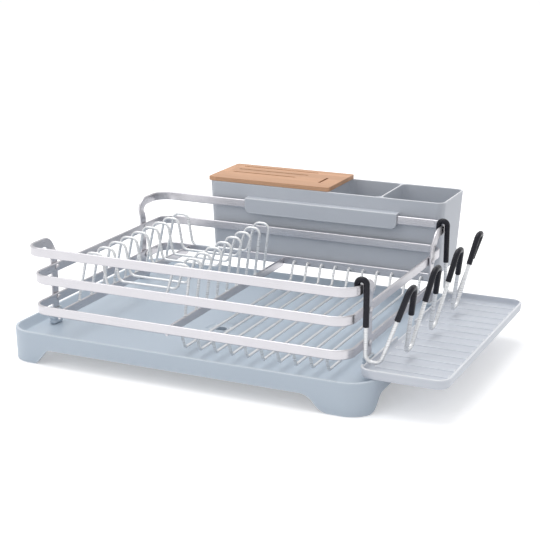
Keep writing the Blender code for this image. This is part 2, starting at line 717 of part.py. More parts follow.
def rivet_mesh(name):
    """A rivet along X with a domed head at each end, drawn about its middle."""
    grip = LEG_OUTER_X - RACK_HALF_WIDTH + BAR_THICKNESS
    seat = grip / 2 + GAP
    head = [
        (RIVET_HEAD_RADIUS * radius_share, seat + RIVET_HEAD_HEIGHT * height_share)
        for radius_share, height_share in zip(RIVET_RADIUS_SHARES, RIVET_HEIGHT_SHARES)
    ]
    profile = list(reversed(head)) + [(RIVET_SHANK_RADIUS, seat), (RIVET_SHANK_RADIUS, -seat)]
    profile += [(reach, -height) for reach, height in head]
    mesh = turned_mesh(name, profile, RIVET_SIDES)
    mesh.transform(Matrix.Rotation(math.pi / 2, 4, "Y"))
    return mesh


def make_rivets(bench, lift):
    for name, where in rivet_places().items():
        mesh = rivet_mesh(name)
        mesh.transform(Matrix.Translation(where))
        bench.part(name, mesh, bench.bar, lift)


def make_foot_caps(bench, lift):
    """Ribbed plastic socks on the four leg ends."""
    half_x = BAR_THICKNESS / 2 + GAP + CAP_WALL
    half_y = LEG_WIDTH / 2 + GAP + CAP_WALL
    leg_x = (LEG_INNER_X + LEG_OUTER_X) / 2
    for side, toward_x in (("left", -1), ("right", 1)):
        for end, toward_y in (("front", -1), ("rear", 1)):
            name = f"foot_cap_{end}_{side}"
            x = toward_x * leg_x
            y = toward_y * LEG_CENTRE_Y
            rings = []
            for band in range(2 * CAP_RIBS + 1):
                inset = CAP_RIB_DEPTH if band % 2 == 0 else 0
                height = CAP_BOTTOM + CAP_HEIGHT * band / (2 * CAP_RIBS)
                across = half_x - inset
                along = half_y - inset
                outline = rounded_rectangle(
                    x - across, x + across, y - along, y + along, CAP_WALL, step=WIRE_ARC_STEP
                )
                rings.append(at_height(outline, height))
            cap = bench.part(name, lofted_mesh(name, rings), bench.tray, lift)
            inner_x = half_x - CAP_WALL
            inner_y = half_y - CAP_WALL
            low = (x - inner_x, y - inner_y, CAP_BOTTOM + CAP_SOLE)
            high = (x + inner_x, y + inner_y, CAP_BOTTOM + CAP_HEIGHT + OVERRUN)
            bench.cut(cap, "socket", boxes_mesh("socket", [(low, high)]))


def make_plate_bars(bench, lift):
    reach = RACK_INNER_DEPTH - GAP
    for name, x in (("plate_bar_left", PLATE_BAR_LEFT_X), ("plate_bar_right", PLATE_BAR_RIGHT_X)):
        low = (x - BAR_THICKNESS / 2, -reach, PLATE_BAR_TOP - PLATE_BAR_HEIGHT)
        high = (x + BAR_THICKNESS / 2, reach, PLATE_BAR_TOP)
        bench.part(name, boxes_mesh(name, [(low, high)]), bench.bar, lift)


def plate_wire_path(y):
    """Up from the left bar, over the first loop, along the run, over the second and down."""
    foot = PLATE_BAR_TOP + GAP
    left = PLATE_BAR_LEFT_X + PLATE_LOOP_INSET
    run_start = left + PLATE_LOOP_WIDTH + PLATE_LOOP_FLARE
    right = PLATE_BAR_RIGHT_X + PLATE_RIGHT_LOOP_OUTSET
    run_end = right - PLATE_LOOP_WIDTH - PLATE_RIGHT_LOOP_FLARE
    corners = [
        (PLATE_BAR_LEFT_X, foot),
        (PLATE_BAR_LEFT_X, foot + PLATE_FOOT_RISE),
        (left, PLATE_CREST_HEIGHT - PLATE_WIRE_RADIUS),
        (left + PLATE_LOOP_WIDTH, PLATE_CREST_HEIGHT - PLATE_WIRE_RADIUS),
        (run_start, PLATE_RUN_HEIGHT),
        (run_end, PLATE_RUN_HEIGHT),
        (right - PLATE_LOOP_WIDTH, PLATE_CREST_HEIGHT - PLATE_WIRE_RADIUS),
        (right, PLATE_CREST_HEIGHT - PLATE_WIRE_RADIUS),
        (PLATE_BAR_RIGHT_X, foot + PLATE_FOOT_RISE),
        (PLATE_BAR_RIGHT_X, foot),
    ]
    points = [(x, y, z) for x, z in corners]
    return filleted(points, PLATE_CREST_RADIUS, step=WIRE_ARC_STEP)


def make_plate_wires(bench, lift):
    for index in range(PLATE_WIRE_COUNT):
        y = PLATE_WIRE_CENTRE_Y + (index - (PLATE_WIRE_COUNT - 1) / 2) * PLATE_WIRE_PITCH
        name = f"plate_wire_{index + 1}"
        curve = wire_curve(name, plate_wire_path(y), PLATE_WIRE_RADIUS, resolution=1)
        bench.part(name, curve, bench.wire, lift)


def make_bowl_wires(bench, lift):
    end = RACK_INNER_DEPTH - GAP
    for index in range(BOWL_WIRE_COUNT):
        x = BOWL_WIRE_FIRST_X + index * BOWL_WIRE_PITCH
        stub = end - BOWL_WIRE_STUB
        run = stub - BOWL_WIRE_DROP_LENGTH
        front = [
            (x, -end, BOWL_WIRE_END_HEIGHT),
            (x, -stub, BOWL_WIRE_END_HEIGHT),
            (x, -run, BOWL_WIRE_RUN_HEIGHT),
        ]
        points = front + [(x, -y, z) for x, y, z in reversed(front)]
        path = filleted(points, BOWL_WIRE_BEND, step=WIRE_ARC_STEP)
        name = f"bowl_wire_{index + 1:02d}"
        bench.part(name, wire_curve(name, path, BOWL_WIRE_RADIUS, resolution=1), bench.wire, lift)


def make_side_tray(bench, slide):
    corner = SIDE_TRAY_CORNER_RADIUS

    def outline(inset):
        half = SIDE_TRAY_HALF_DEPTH - inset
        left = SIDE_TRAY_LEFT_X + inset
        return rounded_rectangle(left, SIDE_TRAY_RIGHT_X - inset, -half, half, corner - inset)

    levels = (
        (SIDE_TRAY_DRAFT, SIDE_TRAY_BOTTOM),
        (SIDE_TRAY_DRAFT * HALF_ROUND_SHARE, SIDE_FLOOR_TOP),
        (0, SIDE_TRAY_RIM_HEIGHT),
    )
    shell = lofted_mesh("side_tray", [at_height(outline(inset), height) for inset, height in levels])
    tray = bench.part("side_tray", shell, bench.tray, slide)
    inside = [
        at_height(outline(SIDE_TRAY_WALL + SIDE_TRAY_DRAFT), SIDE_FLOOR_TOP),
        at_height(outline(SIDE_TRAY_WALL), SIDE_FLOOR_TOP + SIDE_TRAY_DRAFT),
        at_height(outline(SIDE_TRAY_WALL), SIDE_TRAY_RIM_HEIGHT + OVERRUN),
    ]
    bench.cut(tray, "inside", lofted_mesh("inside", inside))
    open_half = SIDE_TRAY_HALF_DEPTH - corner
    beyond = SIDE_TRAY_RIM_HEIGHT + OVERRUN
    inner_edge = SIDE_TRAY_LEFT_X + corner
    low_wall = (
        (SIDE_TRAY_LEFT_X - OVERRUN, -open_half, SIDE_TRAY_INNER_WALL_TOP),
        (inner_edge, open_half, beyond),
    )
    notch_half = SIDE_TRAY_NOTCH_WIDTH / 2
    notch = ((SIDE_TRAY_LEFT_X - OVERRUN, -notch_half, SIDE_FLOOR_TOP), (inner_edge, notch_half, beyond))
    bench.cut(tray, "low_wall", boxes_mesh("low_wall", [low_wall]))
    bench.cut(tray, "notch", boxes_mesh("notch", [notch]))
    bench.unite(tray, "ribs", side_ribs())
    lip_left = TRAY_WIDTH / 2 + GAP
    lip = (
        (lip_left, -SIDE_TRAY_LIP_WIDTH / 2, TRAY_RIM_HEIGHT - SIDE_TRAY_LIP_DROP),
        (lip_left + SIDE_TRAY_WALL, SIDE_TRAY_LIP_WIDTH / 2, SIDE_TRAY_BOTTOM + SIDE_TRAY_FLOOR / 2),
    )
    bench.unite(tray, "lip", boxes_mesh("lip", [lip]))
    return tray


def side_ribs():
    """Parallel ribs along X on the side tray's floor, which stop short of its walls."""
    last = SIDE_TRAY_HALF_DEPTH - SIDE_TRAY_CORNER_RADIUS
    pitch = 2 * last / (SIDE_RIB_COUNT - 1)
    left = SIDE_TRAY_LEFT_X + SIDE_RIB_MARGIN
    right = SIDE_TRAY_RIGHT_X - SIDE_RIB_MARGIN
    boxes = []
    for index in range(SIDE_RIB_COUNT):
        y = index * pitch - last
        low = (left, y - SIDE_RIB_WIDTH / 2, SIDE_FLOOR_TOP - SIDE_TRAY_FLOOR / 2)
        high = (right, y + SIDE_RIB_WIDTH / 2, SIDE_FLOOR_TOP + SIDE_RIB_HEIGHT)
        boxes.append((low, high))
    return boxes_mesh("ribs", boxes)


def cup_wire_path():
    """From the front hook's tip over the bar, down, along four crests and up to the rear hook."""
    stand_off = GAP + SLEEVE_RADIUS
    inner_x = TOP_BAR_INNER_X - stand_off
    outer_x = TOP_BAR_OUTER_X + stand_off
    hook_top = TOP_BAR_TOP + stand_off + HOOK_CREST_RISE
    tip = TOP_BAR_TOP - HOOK_TIP_DROP
    edge = TRAY_WIDTH / 2
    front = [
        (inner_x, -HOOK_Y, tip),
        (inner_x, -HOOK_Y, hook_top),
        (outer_x, -HOOK_Y, hook_top),
        (outer_x, -HOOK_Y, CUP_BEND_BOTTOM),
        (outer_x + CUP_END_BEND_WIDTH, -HOOK_Y, CUP_BEND_BOTTOM),
    ]
    middle = []
    half_loop = CUP_LOOP_WIDTH / 2
    for index in range(CUP_PEAK_COUNT):
        y = (index - (CUP_PEAK_COUNT - 1) / 2) * CUP_PEAK_PITCH
        middle.append((edge + CUP_PEAK_OUTREACH, y - half_loop, CUP_PEAK_TOP))
        middle.append((edge + CUP_PEAK_OUTREACH, y + half_loop, CUP_PEAK_TOP))
        if index < CUP_PEAK_COUNT - 1:
            y += CUP_PEAK_PITCH / 2
            middle.append((edge + CUP_BEND_OUTREACH, y - half_loop, CUP_BEND_BOTTOM))
            middle.append((edge + CUP_BEND_OUTREACH, y + half_loop, CUP_BEND_BOTTOM))
    rear = [(x, -y, z) for x, y, z in reversed(front)]
    return filleted(front + middle + rear, CUP_LOOP_RADIUS, step=WIRE_ARC_STEP)


def stretch_of(path, start, end):
    """The part of the path between two lengths along it."""
    taken = []
    travelled = 0
    for before, after in zip(path, path[1:]):
        length = (after - before).length
        for mark in (start, end):
            if travelled <= mark < travelled + length:
                taken.append(before.lerp(after, (mark - travelled) / length))
        if start < travelled + length < end:
            taken.append(after)
        travelled += length
    return taken


def length_to(path, crest):
    """The length along the path to its point nearest the crest."""
    travelled = 0
    best = (math.inf, 0)
    for before, after in zip(path, path[1:]):
        middle = (before + after) / 2
        best = min(best, ((middle - crest).length, travelled + (after - before).length / 2))
        travelled += (after - before).length
    return best[1]


def extended(path, before, after):
    """The path with its two ends moved outward along it by these lengths."""
    first = path[0] + (path[0] - path[1]).normalized() * before
    last = path[-1] + (path[-1] - path[-2]).normalized() * after
    return [first] + path[1:-1] + [last]


def make_cup_holder(bench, lift):
    path = cup_wire_path()
    bench.part("cup_holder_wire", wire_curve("cup_holder_wire", path, CUP_WIRE_RADIUS), bench.wire, lift)
    total = sum((after - before).length for before, after in zip(path, path[1:]))
    hook_length = 2 * HOOK_TIP_DROP + BAR_THICKNESS + 2 * SLEEVE_RADIUS + SLEEVE_LEG
    make_hook_sleeve(bench, lift, "hook_sleeve_front", stretch_of(path, 0, hook_length))
    rear = list(reversed(stretch_of(path, total - hook_length, total - GAP)))
    make_hook_sleeve(bench, lift, "hook_sleeve_rear", rear)
    for index in range(CUP_PEAK_COUNT):
        y = (index - (CUP_PEAK_COUNT - 1) / 2) * CUP_PEAK_PITCH
        crest = length_to(path, Vector((TRAY_WIDTH / 2 + CUP_PEAK_OUTREACH, y, CUP_PEAK_TOP)))
        stretch = stretch_of(path, crest - SLEEVE_LEG, crest + SLEEVE_LEG)
        name = f"peak_sleeve_{index + 1}"
        sleeve = curve_mesh(name, wire_curve(name, stretch, SLEEVE_RADIUS))
        bore_path = extended(stretch, OVERRUN, OVERRUN)
        bore = curve_mesh("bore", wire_curve("bore", bore_path, CUP_WIRE_RADIUS + GAP))
        item = bench.part(name, sleeve, bench.sleeve, lift)
        bench.cut(item, "bore", bore)


def make_hook_sleeve(bench, lift, name, stretch):
    """A sleeve over a hook, closed past the wire's tip, which is the stretch's first point."""
    skin_path = extended(stretch, SLEEVE_END + GAP, 0)
    sleeve = curve_mesh(name, wire_curve(name, skin_path, SLEEVE_RADIUS))
    bore_path = extended(stretch, GAP, OVERRUN)
    bore = curve_mesh("bore", wire_curve("bore", bore_path, CUP_WIRE_RADIUS + GAP))
    item = bench.part(name, sleeve, bench.sleeve, lift)
    bench.cut(item, "bore", bore)


def caddy_outline(inset, lower):
    """The caddy's plan: its front stays upright while its ends and its back draw in below."""
    taper = CADDY_TAPER * lower
    left = CADDY_LEFT_X + inset + taper
    right = CADDY_RIGHT_X - inset - taper
    rear = CADDY_REAR_Y - inset - taper
    return rounded_rectangle(left, right, CADDY_FRONT_Y + inset, rear, CADDY_CORNER_RADIUS - inset)


def compartment_mesh(name, left, right):
    """One compartment's inside, narrowed where the caddy's end walls draw in."""
    rings = []
    for height, lower in ((CADDY_BOTTOM_HEIGHT + CADDY_FLOOR, 1), (CADDY_RIM_HEIGHT + OVERRUN, 0)):
        taper = CADDY_TAPER * lower
        left_edge = left + CADDY_WALL / 2
        right_edge = right - CADDY_WALL / 2
        if left == CADDY_LEFT_X:
            left_edge = left + CADDY_WALL + taper
        if right == CADDY_RIGHT_X:
            right_edge = right - CADDY_WALL - taper
        front = CADDY_FRONT_Y + CADDY_WALL
        rear = CADDY_REAR_Y - CADDY_WALL - taper
        radius = CADDY_CORNER_RADIUS - CADDY_WALL
        rings.append(at_height(rounded_rectangle(left_edge, right_edge, front, rear, radius), height))
    return lofted_mesh(name, rings)


def make_cutlery_caddy(bench, lift):
    rings = [
        at_height(caddy_outline(CADDY_FLOOR / 2, 1), CADDY_BOTTOM_HEIGHT),
        at_height(caddy_outline(0, 1), CADDY_BOTTOM_HEIGHT + CADDY_FLOOR / 2),
        at_height(caddy_outline(0, 0), CADDY_RIM_HEIGHT),
    ]
    caddy = bench.part("cutlery_caddy", lofted_mesh("cutlery_caddy", rings), bench.caddy, lift)
    edges = (CADDY_LEFT_X, *CADDY_DIVIDER_XS, CADDY_RIGHT_X)
    for index, (left, right) in enumerate(zip(edges, edges[1:])):
        bench.cut(caddy, f"compartment_{index + 1}", compartment_mesh("compartment", left, right))
    flap_rear = RACK_INNER_DEPTH - GAP
    flap_front = flap_rear - HOOK_THICKNESS
    shelf_low = TOP_BAR_TOP + GAP
    shelf_high = shelf_low + HOOK_THICKNESS
    shelf_rear = CADDY_FRONT_Y + CADDY_WALL / 2
    shelf = ((HOOK_LEFT_X, flap_front, shelf_low), (HOOK_RIGHT_X, shelf_rear, shelf_high))
    bench.unite(caddy, "shelf", boxes_mesh("shelf", [shelf]))
    flap_low = shelf_low - HOOK_FLAP_DROP
    corners = [
        (HOOK_RIGHT_X, flap_low),
        (HOOK_LEFT_X, flap_low),
        (HOOK_LEFT_X, shelf_high),
        (HOOK_RIGHT_X, shelf_high),
    ]
    rounded = filleted(corners, HOOK_FLAP_ROUNDING, closed=True)
    half = len(rounded) // 2
    flap = rounded[:half] + [Vector(corner) for corner in corners[2:]]
    bench.unite(caddy, "flap", flat_mesh("flap", [flap], flap_front, flap_rear, "XZ"))
    holes = rods_mesh("drain_holes", caddy_holes(), CADDY_HOLE_RADIUS, sides=HOLE_SIDES)
    bench.cut(caddy, "drain_holes", holes)
    return caddy


def caddy_holes():
    """Two rows of drain holes in the base, kept off the dividers."""
    middle_y = (CADDY_FRONT_Y + CADDY_REAR_Y - CADDY_TAPER) / 2
    holes = []
    edges = (CADDY_LEFT_X, *CADDY_DIVIDER_XS, CADDY_RIGHT_X)
    for left, right in zip(edges, edges[1:]):
        middle_x = (left + right) / 2
        for step_x in (-1, 0, 1):
            for step_y in (-0.5, 0.5):
                x = middle_x + step_x * CADDY_HOLE_PITCH
                y = middle_y + step_y * CADDY_HOLE_PITCH
                holes.append(((x, y, CADDY_BOTTOM_HEIGHT), 2 * CADDY_FLOOR + OVERRUN))
    return holes


def make_bamboo_cover(bench, lift):
    low = CADDY_RIM_HEIGHT + GAP
    right = CADDY_DIVIDER_XS[0] + COVER_OVERHANG
    outline = rounded_rectangle(CADDY_LEFT_X, right, CADDY_FRONT_Y, CADDY_REAR_Y, COVER_CORNER_RADIUS)
    plate = flat_mesh("bamboo_cover", [outline], low, low + COVER_THICKNESS)
    cover = bench.part("bamboo_cover", plate, bench.wood, lift)
    inset = CADDY_WALL + COVER_PLUG_GAP
    plug_right = CADDY_DIVIDER_XS[0] - CADDY_WALL / 2 - COVER_PLUG_GAP
    plug_radius = CADDY_CORNER_RADIUS - CADDY_WALL
    plug = rounded_rectangle(
        CADDY_LEFT_X + inset, plug_right, CADDY_FRONT_Y + inset, CADDY_REAR_Y - inset, plug_radius
    )
    plug_low = low - COVER_PLUG_DEPTH
    bench.unite(cover, "plug", flat_mesh("plug", [plug], plug_low, low + COVER_THICKNESS / 2))
    bench.cut(cover, "knife_slots", boxes_mesh("knife_slots", cover_slots(low, right)))
    return cover


def cover_slots(low, right):
    """Three knife slots along the cover, staggered at their right ends, and a short one across."""
    below = low - COVER_PLUG_DEPTH - OVERRUN
    above = low + COVER_THICKNESS + OVERRUN
    half = COVER_SLOT_WIDTH / 2
    left = CADDY_LEFT_X + COVER_SLOT_LEFT_MARGIN
    slots = []
    for inset, share in zip(COVER_SLOT_RIGHT_INSETS, COVER_SLOT_DEPTH_SHARES):
        y = CADDY_FRONT_Y + CADDY_DEPTH * share
        slots.append(((left, y - half, below), (right - inset, y + half, above)))
    x = right - COVER_SHORT_SLOT_INSET
    front, back = (CADDY_FRONT_Y + CADDY_DEPTH * share for share in COVER_SHORT_SLOT_SHARES)
    slots.append(((x - half, front, below), (x + half, back, above)))
    return slots


def main():
    clear_scene()
    bench = Bench()
    origin = empty("counter", bench.parts, (-ORIGIN_X, -ORIGIN_Y, 0))
    make_drip_tray(bench, origin)
    make_drain_spout(bench, empty("spout_pivot", bench.parts, (DRAIN_X, DRAIN_Y, 0), origin))
    rack_lift = empty("rack_lift", bench.parts, parent=origin)
    rods = [(where, RIVET_HOLE_LENGTH) for where in rivet_places().values()]
    drill = rods_mesh("rivet_holes", rods, RIVET_SHANK_RADIUS + GAP, "X", RIVET_SIDES)
    holes = bench.helper("rivet_holes", drill, rack_lift)
    make_rails(bench, rack_lift, holes)
    make_top_bars(bench, rack_lift, holes)
    make_rivets(bench, rack_lift)
    make_foot_caps(bench, rack_lift)
    make_plate_bars(bench, rack_lift)
    make_plate_wires(bench, rack_lift)
    make_bowl_wires(bench, rack_lift)
    make_side_tray(bench, empty("side_tray_slide", bench.parts, parent=origin))
    make_cup_holder(bench, empty("cup_holder_lift", bench.parts, parent=rack_lift))
    caddy_lift = empty("caddy_lift", bench.parts, parent=rack_lift)
    make_cutlery_caddy(bench, caddy_lift)
    make_bamboo_cover(bench, empty("cover_lift", bench.parts, parent=caddy_lift))


if __name__ == "__main__":
    main()
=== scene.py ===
"""Looks of a dish drainer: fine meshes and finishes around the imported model, with its stage."""

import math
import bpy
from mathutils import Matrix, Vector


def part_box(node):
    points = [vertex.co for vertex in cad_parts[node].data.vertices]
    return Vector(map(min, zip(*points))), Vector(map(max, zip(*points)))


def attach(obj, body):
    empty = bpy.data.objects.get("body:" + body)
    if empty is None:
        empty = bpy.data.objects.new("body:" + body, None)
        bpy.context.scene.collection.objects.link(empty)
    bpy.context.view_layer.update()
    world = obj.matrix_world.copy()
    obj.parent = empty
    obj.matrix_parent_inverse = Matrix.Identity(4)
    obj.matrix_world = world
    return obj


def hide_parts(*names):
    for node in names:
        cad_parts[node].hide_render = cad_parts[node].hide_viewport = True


bl_info = {
    "name": "Dish Drainer",
    "version": (1, 0, 0),
    "blender": (4, 5, 0),
    "location": "3D View > Sidebar > Drainer",
    "description": "Builds the drip tray, rack, cup holder, side tray and caddy of a dish drainer",
    "category": "Object",
}

import bmesh
import bpy
from bpy.props import FloatProperty, FloatVectorProperty, IntProperty, PointerProperty
from mathutils import Matrix, Vector

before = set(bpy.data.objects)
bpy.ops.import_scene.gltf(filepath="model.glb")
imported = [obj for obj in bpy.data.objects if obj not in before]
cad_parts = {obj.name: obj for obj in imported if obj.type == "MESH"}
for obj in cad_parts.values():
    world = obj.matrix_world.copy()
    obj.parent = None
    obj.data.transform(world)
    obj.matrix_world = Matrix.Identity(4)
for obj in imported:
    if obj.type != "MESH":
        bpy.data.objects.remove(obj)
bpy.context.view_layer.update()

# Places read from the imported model, about the middle of the drip tray
TRAY_LOW, TRAY_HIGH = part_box("drip_tray")
CENTRE = Vector(((TRAY_LOW.x + TRAY_HIGH.x) / 2, (TRAY_LOW.y + TRAY_HIGH.y) / 2, 0))


def near_box(node):
    low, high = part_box(node)
    return low - CENTRE, high - CENTRE


TRAY_HALF_X = (TRAY_HIGH.x - TRAY_LOW.x) / 2
TRAY_HALF_Y = (TRAY_HIGH.y - TRAY_LOW.y) / 2
TRAY_RIM = TRAY_HIGH.z
RAIL_LOW, RAIL_HIGH = near_box("bottom_rail")
MIDDLE_LOW, MIDDLE_HIGH = near_box("middle_rail")
BAND_LOW, BAND_HIGH = near_box("front_top_bar")
LEFT_BAR_LOW, LEFT_BAR_HIGH = near_box("plate_bar_left")
RIGHT_BAR_LOW, RIGHT_BAR_HIGH = near_box("plate_bar_right")
SIDE_LOW, SIDE_HIGH = near_box("side_tray")
CADDY_LOW, CADDY_HIGH = near_box("cutlery_caddy")
COVER_LOW, COVER_HIGH = near_box("bamboo_cover")
SPOUT_LOW, SPOUT_HIGH = near_box("drain_spout")
WIRE_HIGH = near_box("plate_wire_1")[1]
CUP_LOW = near_box("cup_holder_wire")[0]

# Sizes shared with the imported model
GAP = 0.0003
BAR_THICKNESS = LEFT_BAR_HIGH.x - LEFT_BAR_LOW.x
BAR_HEIGHT = RAIL_HIGH.z - RAIL_LOW.z
RACK_CORNER = 0.020
LEG_WIDTH = 0.012
LEG_Y = 0.100
LEG_BEND = 0.020
LEG_LEAN = 0.003
LEG_LEAN_HEIGHT = 0.017
CUP_WIRE_RADIUS = 0.0022

# How finely arcs are stepped, how far cutters run past, and how close points are merged
FINE = math.radians(7.5)
BAR_SECTION_STEP = math.radians(22.5)
LEG_SHARE = 0.49
OVERRUN = 0.004
MERGE_REACH = GAP / 100
CLEAN_REACH = GAP / 20


class DrainerSizes(bpy.types.PropertyGroup):
    edge_rounding: FloatProperty(
        name="Edge rounding", description="Radius on the moulded edges", default=0.0007, unit="LENGTH"
    )
    bar_rounding: FloatProperty(
        name="Bar rounding", description="Radius on the flat bars' edges", default=0.0013, unit="LENGTH"
    )
    plate_wire: FloatProperty(
        name="Plate wire", description="Radius of the plate and bowl wires", default=0.0016, unit="LENGTH"
    )
    cup_wire: FloatProperty(
        name="Cup wire", description="Radius of the cup holder's wire", default=CUP_WIRE_RADIUS,
        unit="LENGTH",
    )
    sleeve: FloatProperty(
        name="Sleeve", description="Outer radius of the dark sleeves", default=0.0032, unit="LENGTH"
    )
    weld_flare: FloatProperty(
        name="Weld flare", description="How far a weld swells a wire's end, as a share", default=0.45
    )
    rib_count: IntProperty(name="Side ribs", description="Ribs on the side tray", default=14)


class DrainerColours(bpy.types.PropertyGroup):
    tray: FloatVectorProperty(
        name="Tray", description="Pale blue-grey plastic", subtype="COLOR", size=4,
        default=(0.462, 0.533, 0.610, 1), min=0, max=1,
    )
    side_tray: FloatVectorProperty(
        name="Side tray", description="Paler grey plastic", subtype="COLOR", size=4,
        default=(0.588, 0.620, 0.680, 1), min=0, max=1,
    )
    caddy: FloatVectorProperty(
        name="Caddy", description="Pale grey plastic", subtype="COLOR", size=4,
        default=(0.517, 0.545, 0.594, 1), min=0, max=1,
    )
    bar: FloatVectorProperty(
        name="Flat bar", description="Anodised aluminium", subtype="COLOR", size=4,
        default=(0.60, 0.59, 0.615, 1), min=0, max=1,
    )
    wire: FloatVectorProperty(
        name="Wire", description="Bright wire", subtype="COLOR", size=4,
        default=(0.78, 0.79, 0.80, 1), min=0, max=1,
    )
    sleeve: FloatVectorProperty(
        name="Sleeve", description="Dark vinyl", subtype="COLOR", size=4,
        default=(0.013, 0.0135, 0.020, 1), min=0, max=1,
    )
    bamboo: FloatVectorProperty(
        name="Bamboo", description="Bamboo cover", subtype="COLOR", size=4,
        default=(0.62, 0.352, 0.208, 1), min=0, max=1,
    )
    floor: FloatVectorProperty(
        name="Floor", description="Pale floor", subtype="COLOR", size=4,
        default=(0.92, 0.92, 0.93, 1), min=0, max=1,
    )


# Shapes


def filleted(points, radius, closed=False, step=FINE):
    """The points with each corner an arc, of one radius or of its own from a list, limited by its legs."""
    points = [Vector(point) for point in points]
    count = len(points)
    radii = radius if isinstance(radius, list) else [radius] * count
    path = []
    for index, corner in enumerate(points):
        if not closed and index in (0, count - 1):
            path.append(corner)
            continue
        before = points[index - 1] - corner
        after = points[(index + 1) % count] - corner
        opening = before.angle(after)
        turn = math.pi - opening
        legs = (before.length * LEG_SHARE, after.length * LEG_SHARE)
        reach = min(radii[index] / math.tan(opening / 2), *legs)
        bend = reach * math.tan(opening / 2)
        middle = (before.normalized() + after.normalized()).normalized()
        centre = corner + middle * bend / math.sin(opening / 2)
        first = corner + before.normalized() * reach - centre
        last = corner + after.normalized() * reach - centre
        steps = max(1, round(turn / step))
        for part in range(steps + 1):
            share = part / steps
            blend = first * math.sin((1 - share) * turn) + last * math.sin(share * turn)
            path.append(centre + blend / math.sin(turn))
    return path


def quarter_turn(steps):
    """Angles from nothing to a right angle, in even steps."""
    return [math.pi / 2 * part / steps for part in range(steps + 1)]


def rounded_box(left, right, front, back, radius, step=FINE):
    corners = [(right, back), (left, back), (left, front), (right, front)]
    return filleted(corners, radius, closed=True, step=step)


def at_height(outline, height):
    return [Vector((point[0], point[1], height)) for point in outline]


def finished_mesh(shape, name):
    bmesh.ops.recalc_face_normals(shape, faces=shape.faces)
    mesh = bpy.data.meshes.new(name)
    shape.to_mesh(mesh)
    shape.free()
    return mesh


def lofted(name, rings):
    shape = bmesh.new()
    loops = [[shape.verts.new(point) for point in ring] for ring in rings]
    for lower, upper in zip(loops, loops[1:]):
        for index, corner in enumerate(lower):
            after = (index + 1) % len(lower)
            shape.faces.new((corner, lower[after], upper[after], upper[index]))
    shape.faces.new(loops[0])
    shape.faces.new(loops[-1])
    return finished_mesh(shape, name)


def extruded(name, outline, low, high, plane="XY"):
    """A flat outline carried from low to high along the axis square to its plane."""
    rings = []
    for level in (low, high):
        if plane == "XY":
            rings.append([Vector((a, b, level)) for a, b in outline])
        elif plane == "XZ":
            rings.append([Vector((a, level, b)) for a, b in outline])
        else:
            rings.append([Vector((level, a, b)) for a, b in outline])
    return lofted(name, rings)


def boxes(name, corners):
    shape = bmesh.new()
    for low, high in corners:
        low = Vector(low)
        high = Vector(high)
        made = bmesh.ops.create_cube(shape, size=1)
        bmesh.ops.scale(shape, vec=high - low, verts=made["verts"])
        bmesh.ops.translate(shape, vec=(low + high) / 2, verts=made["verts"])
    return finished_mesh(shape, name)


def rods(name, middles, radius, length, turn=None, sides=32):
    shape = bmesh.new()
    for middle in middles:
        made = bmesh.ops.create_cone(
            shape, cap_ends=True, segments=sides, radius1=radius, radius2=radius, depth=length
        )
        if turn:
            bmesh.ops.rotate(shape, cent=(0, 0, 0), matrix=turn, verts=made["verts"])
        bmesh.ops.translate(shape, vec=middle, verts=made["verts"])
    return finished_mesh(shape, name)


def turned(name, profile, steps=32):
    """A solid of revolution about Z through rings of the profile's points."""
    shape = bmesh.new()
    outline = [shape.verts.new((reach, 0, height)) for reach, height in profile]
    edges = [shape.edges.new(pair) for pair in zip(outline, outline[1:])]
    bmesh.ops.spin(
        shape, geom=outline + edges, cent=(0, 0, 0), axis=(0, 0, 1), angle=math.tau, steps=steps
    )
    bmesh.ops.remove_doubles(shape, verts=shape.verts, dist=MERGE_REACH)
    return finished_mesh(shape, name)


def place(name, mesh, finish):
    """An object about the tray's middle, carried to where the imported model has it."""
    item = bpy.data.objects.new(name, mesh)
    item.data.materials.append(finish)
    bpy.context.scene.collection.objects.link(item)
    item.location = CENTRE
    return item


def carve(item, mesh, operation="DIFFERENCE"):
    """Cuts the mesh from the item, or unites them, for good."""
    tool = bpy.data.objects.new("tool", mesh)
    bpy.context.scene.collection.objects.link(tool)
    tool.location = item.location
    modifier = item.modifiers.new("carve", "BOOLEAN")
    modifier.operation = operation
    modifier.object = tool
    settle(item)
    bpy.data.objects.remove(tool, do_unlink=True)


def settle(item):
    """Makes the item's modifiers part of its mesh."""
    graph = bpy.context.evaluated_depsgraph_get()
    mesh = bpy.data.meshes.new_from_object(item.evaluated_get(graph))
    item.modifiers.clear()
    item.data = mesh


def smooth(item, angle=40):
    item.data.shade_smooth()
    item.data.set_sharp_from_angle(angle=math.radians(angle))
    level = item.modifiers.new("level", "WEIGHTED_NORMAL")
    level.keep_sharp = True
    settle(item)


def soften(item, width, angle=38, segments=3):
    """Rounds the edges that are sharper than the angle."""
    shape = bmesh.new()
    shape.from_mesh(item.data)
    bmesh.ops.remove_doubles(shape, verts=shape.verts, dist=CLEAN_REACH)
    bmesh.ops.dissolve_degenerate(shape, edges=shape.edges, dist=CLEAN_REACH)
    shape.to_mesh(item.data)
    shape.free()
    bevel = item.modifiers.new("soften", "BEVEL")
    bevel.width = width
    bevel.segments = segments
    bevel.limit_method = "ANGLE"
    bevel.angle_limit = math.radians(angle)
    bevel.miter_outer = "MITER_ARC"
    bevel.use_clamp_overlap = True
    settle(item)
    smooth(item)


def bar_ring(centre, wide, thick, width, thickness, rounding):
    """A flat bar's section with rounded edges."""
    half_wide = width / 2
    half_thick = thickness / 2
    section = rounded_box(-half_thick, half_thick, -half_wide, half_wide, rounding, BAR_SECTION_STEP)
    return [centre + thick * point[0] + wide * point[1] for point in section]


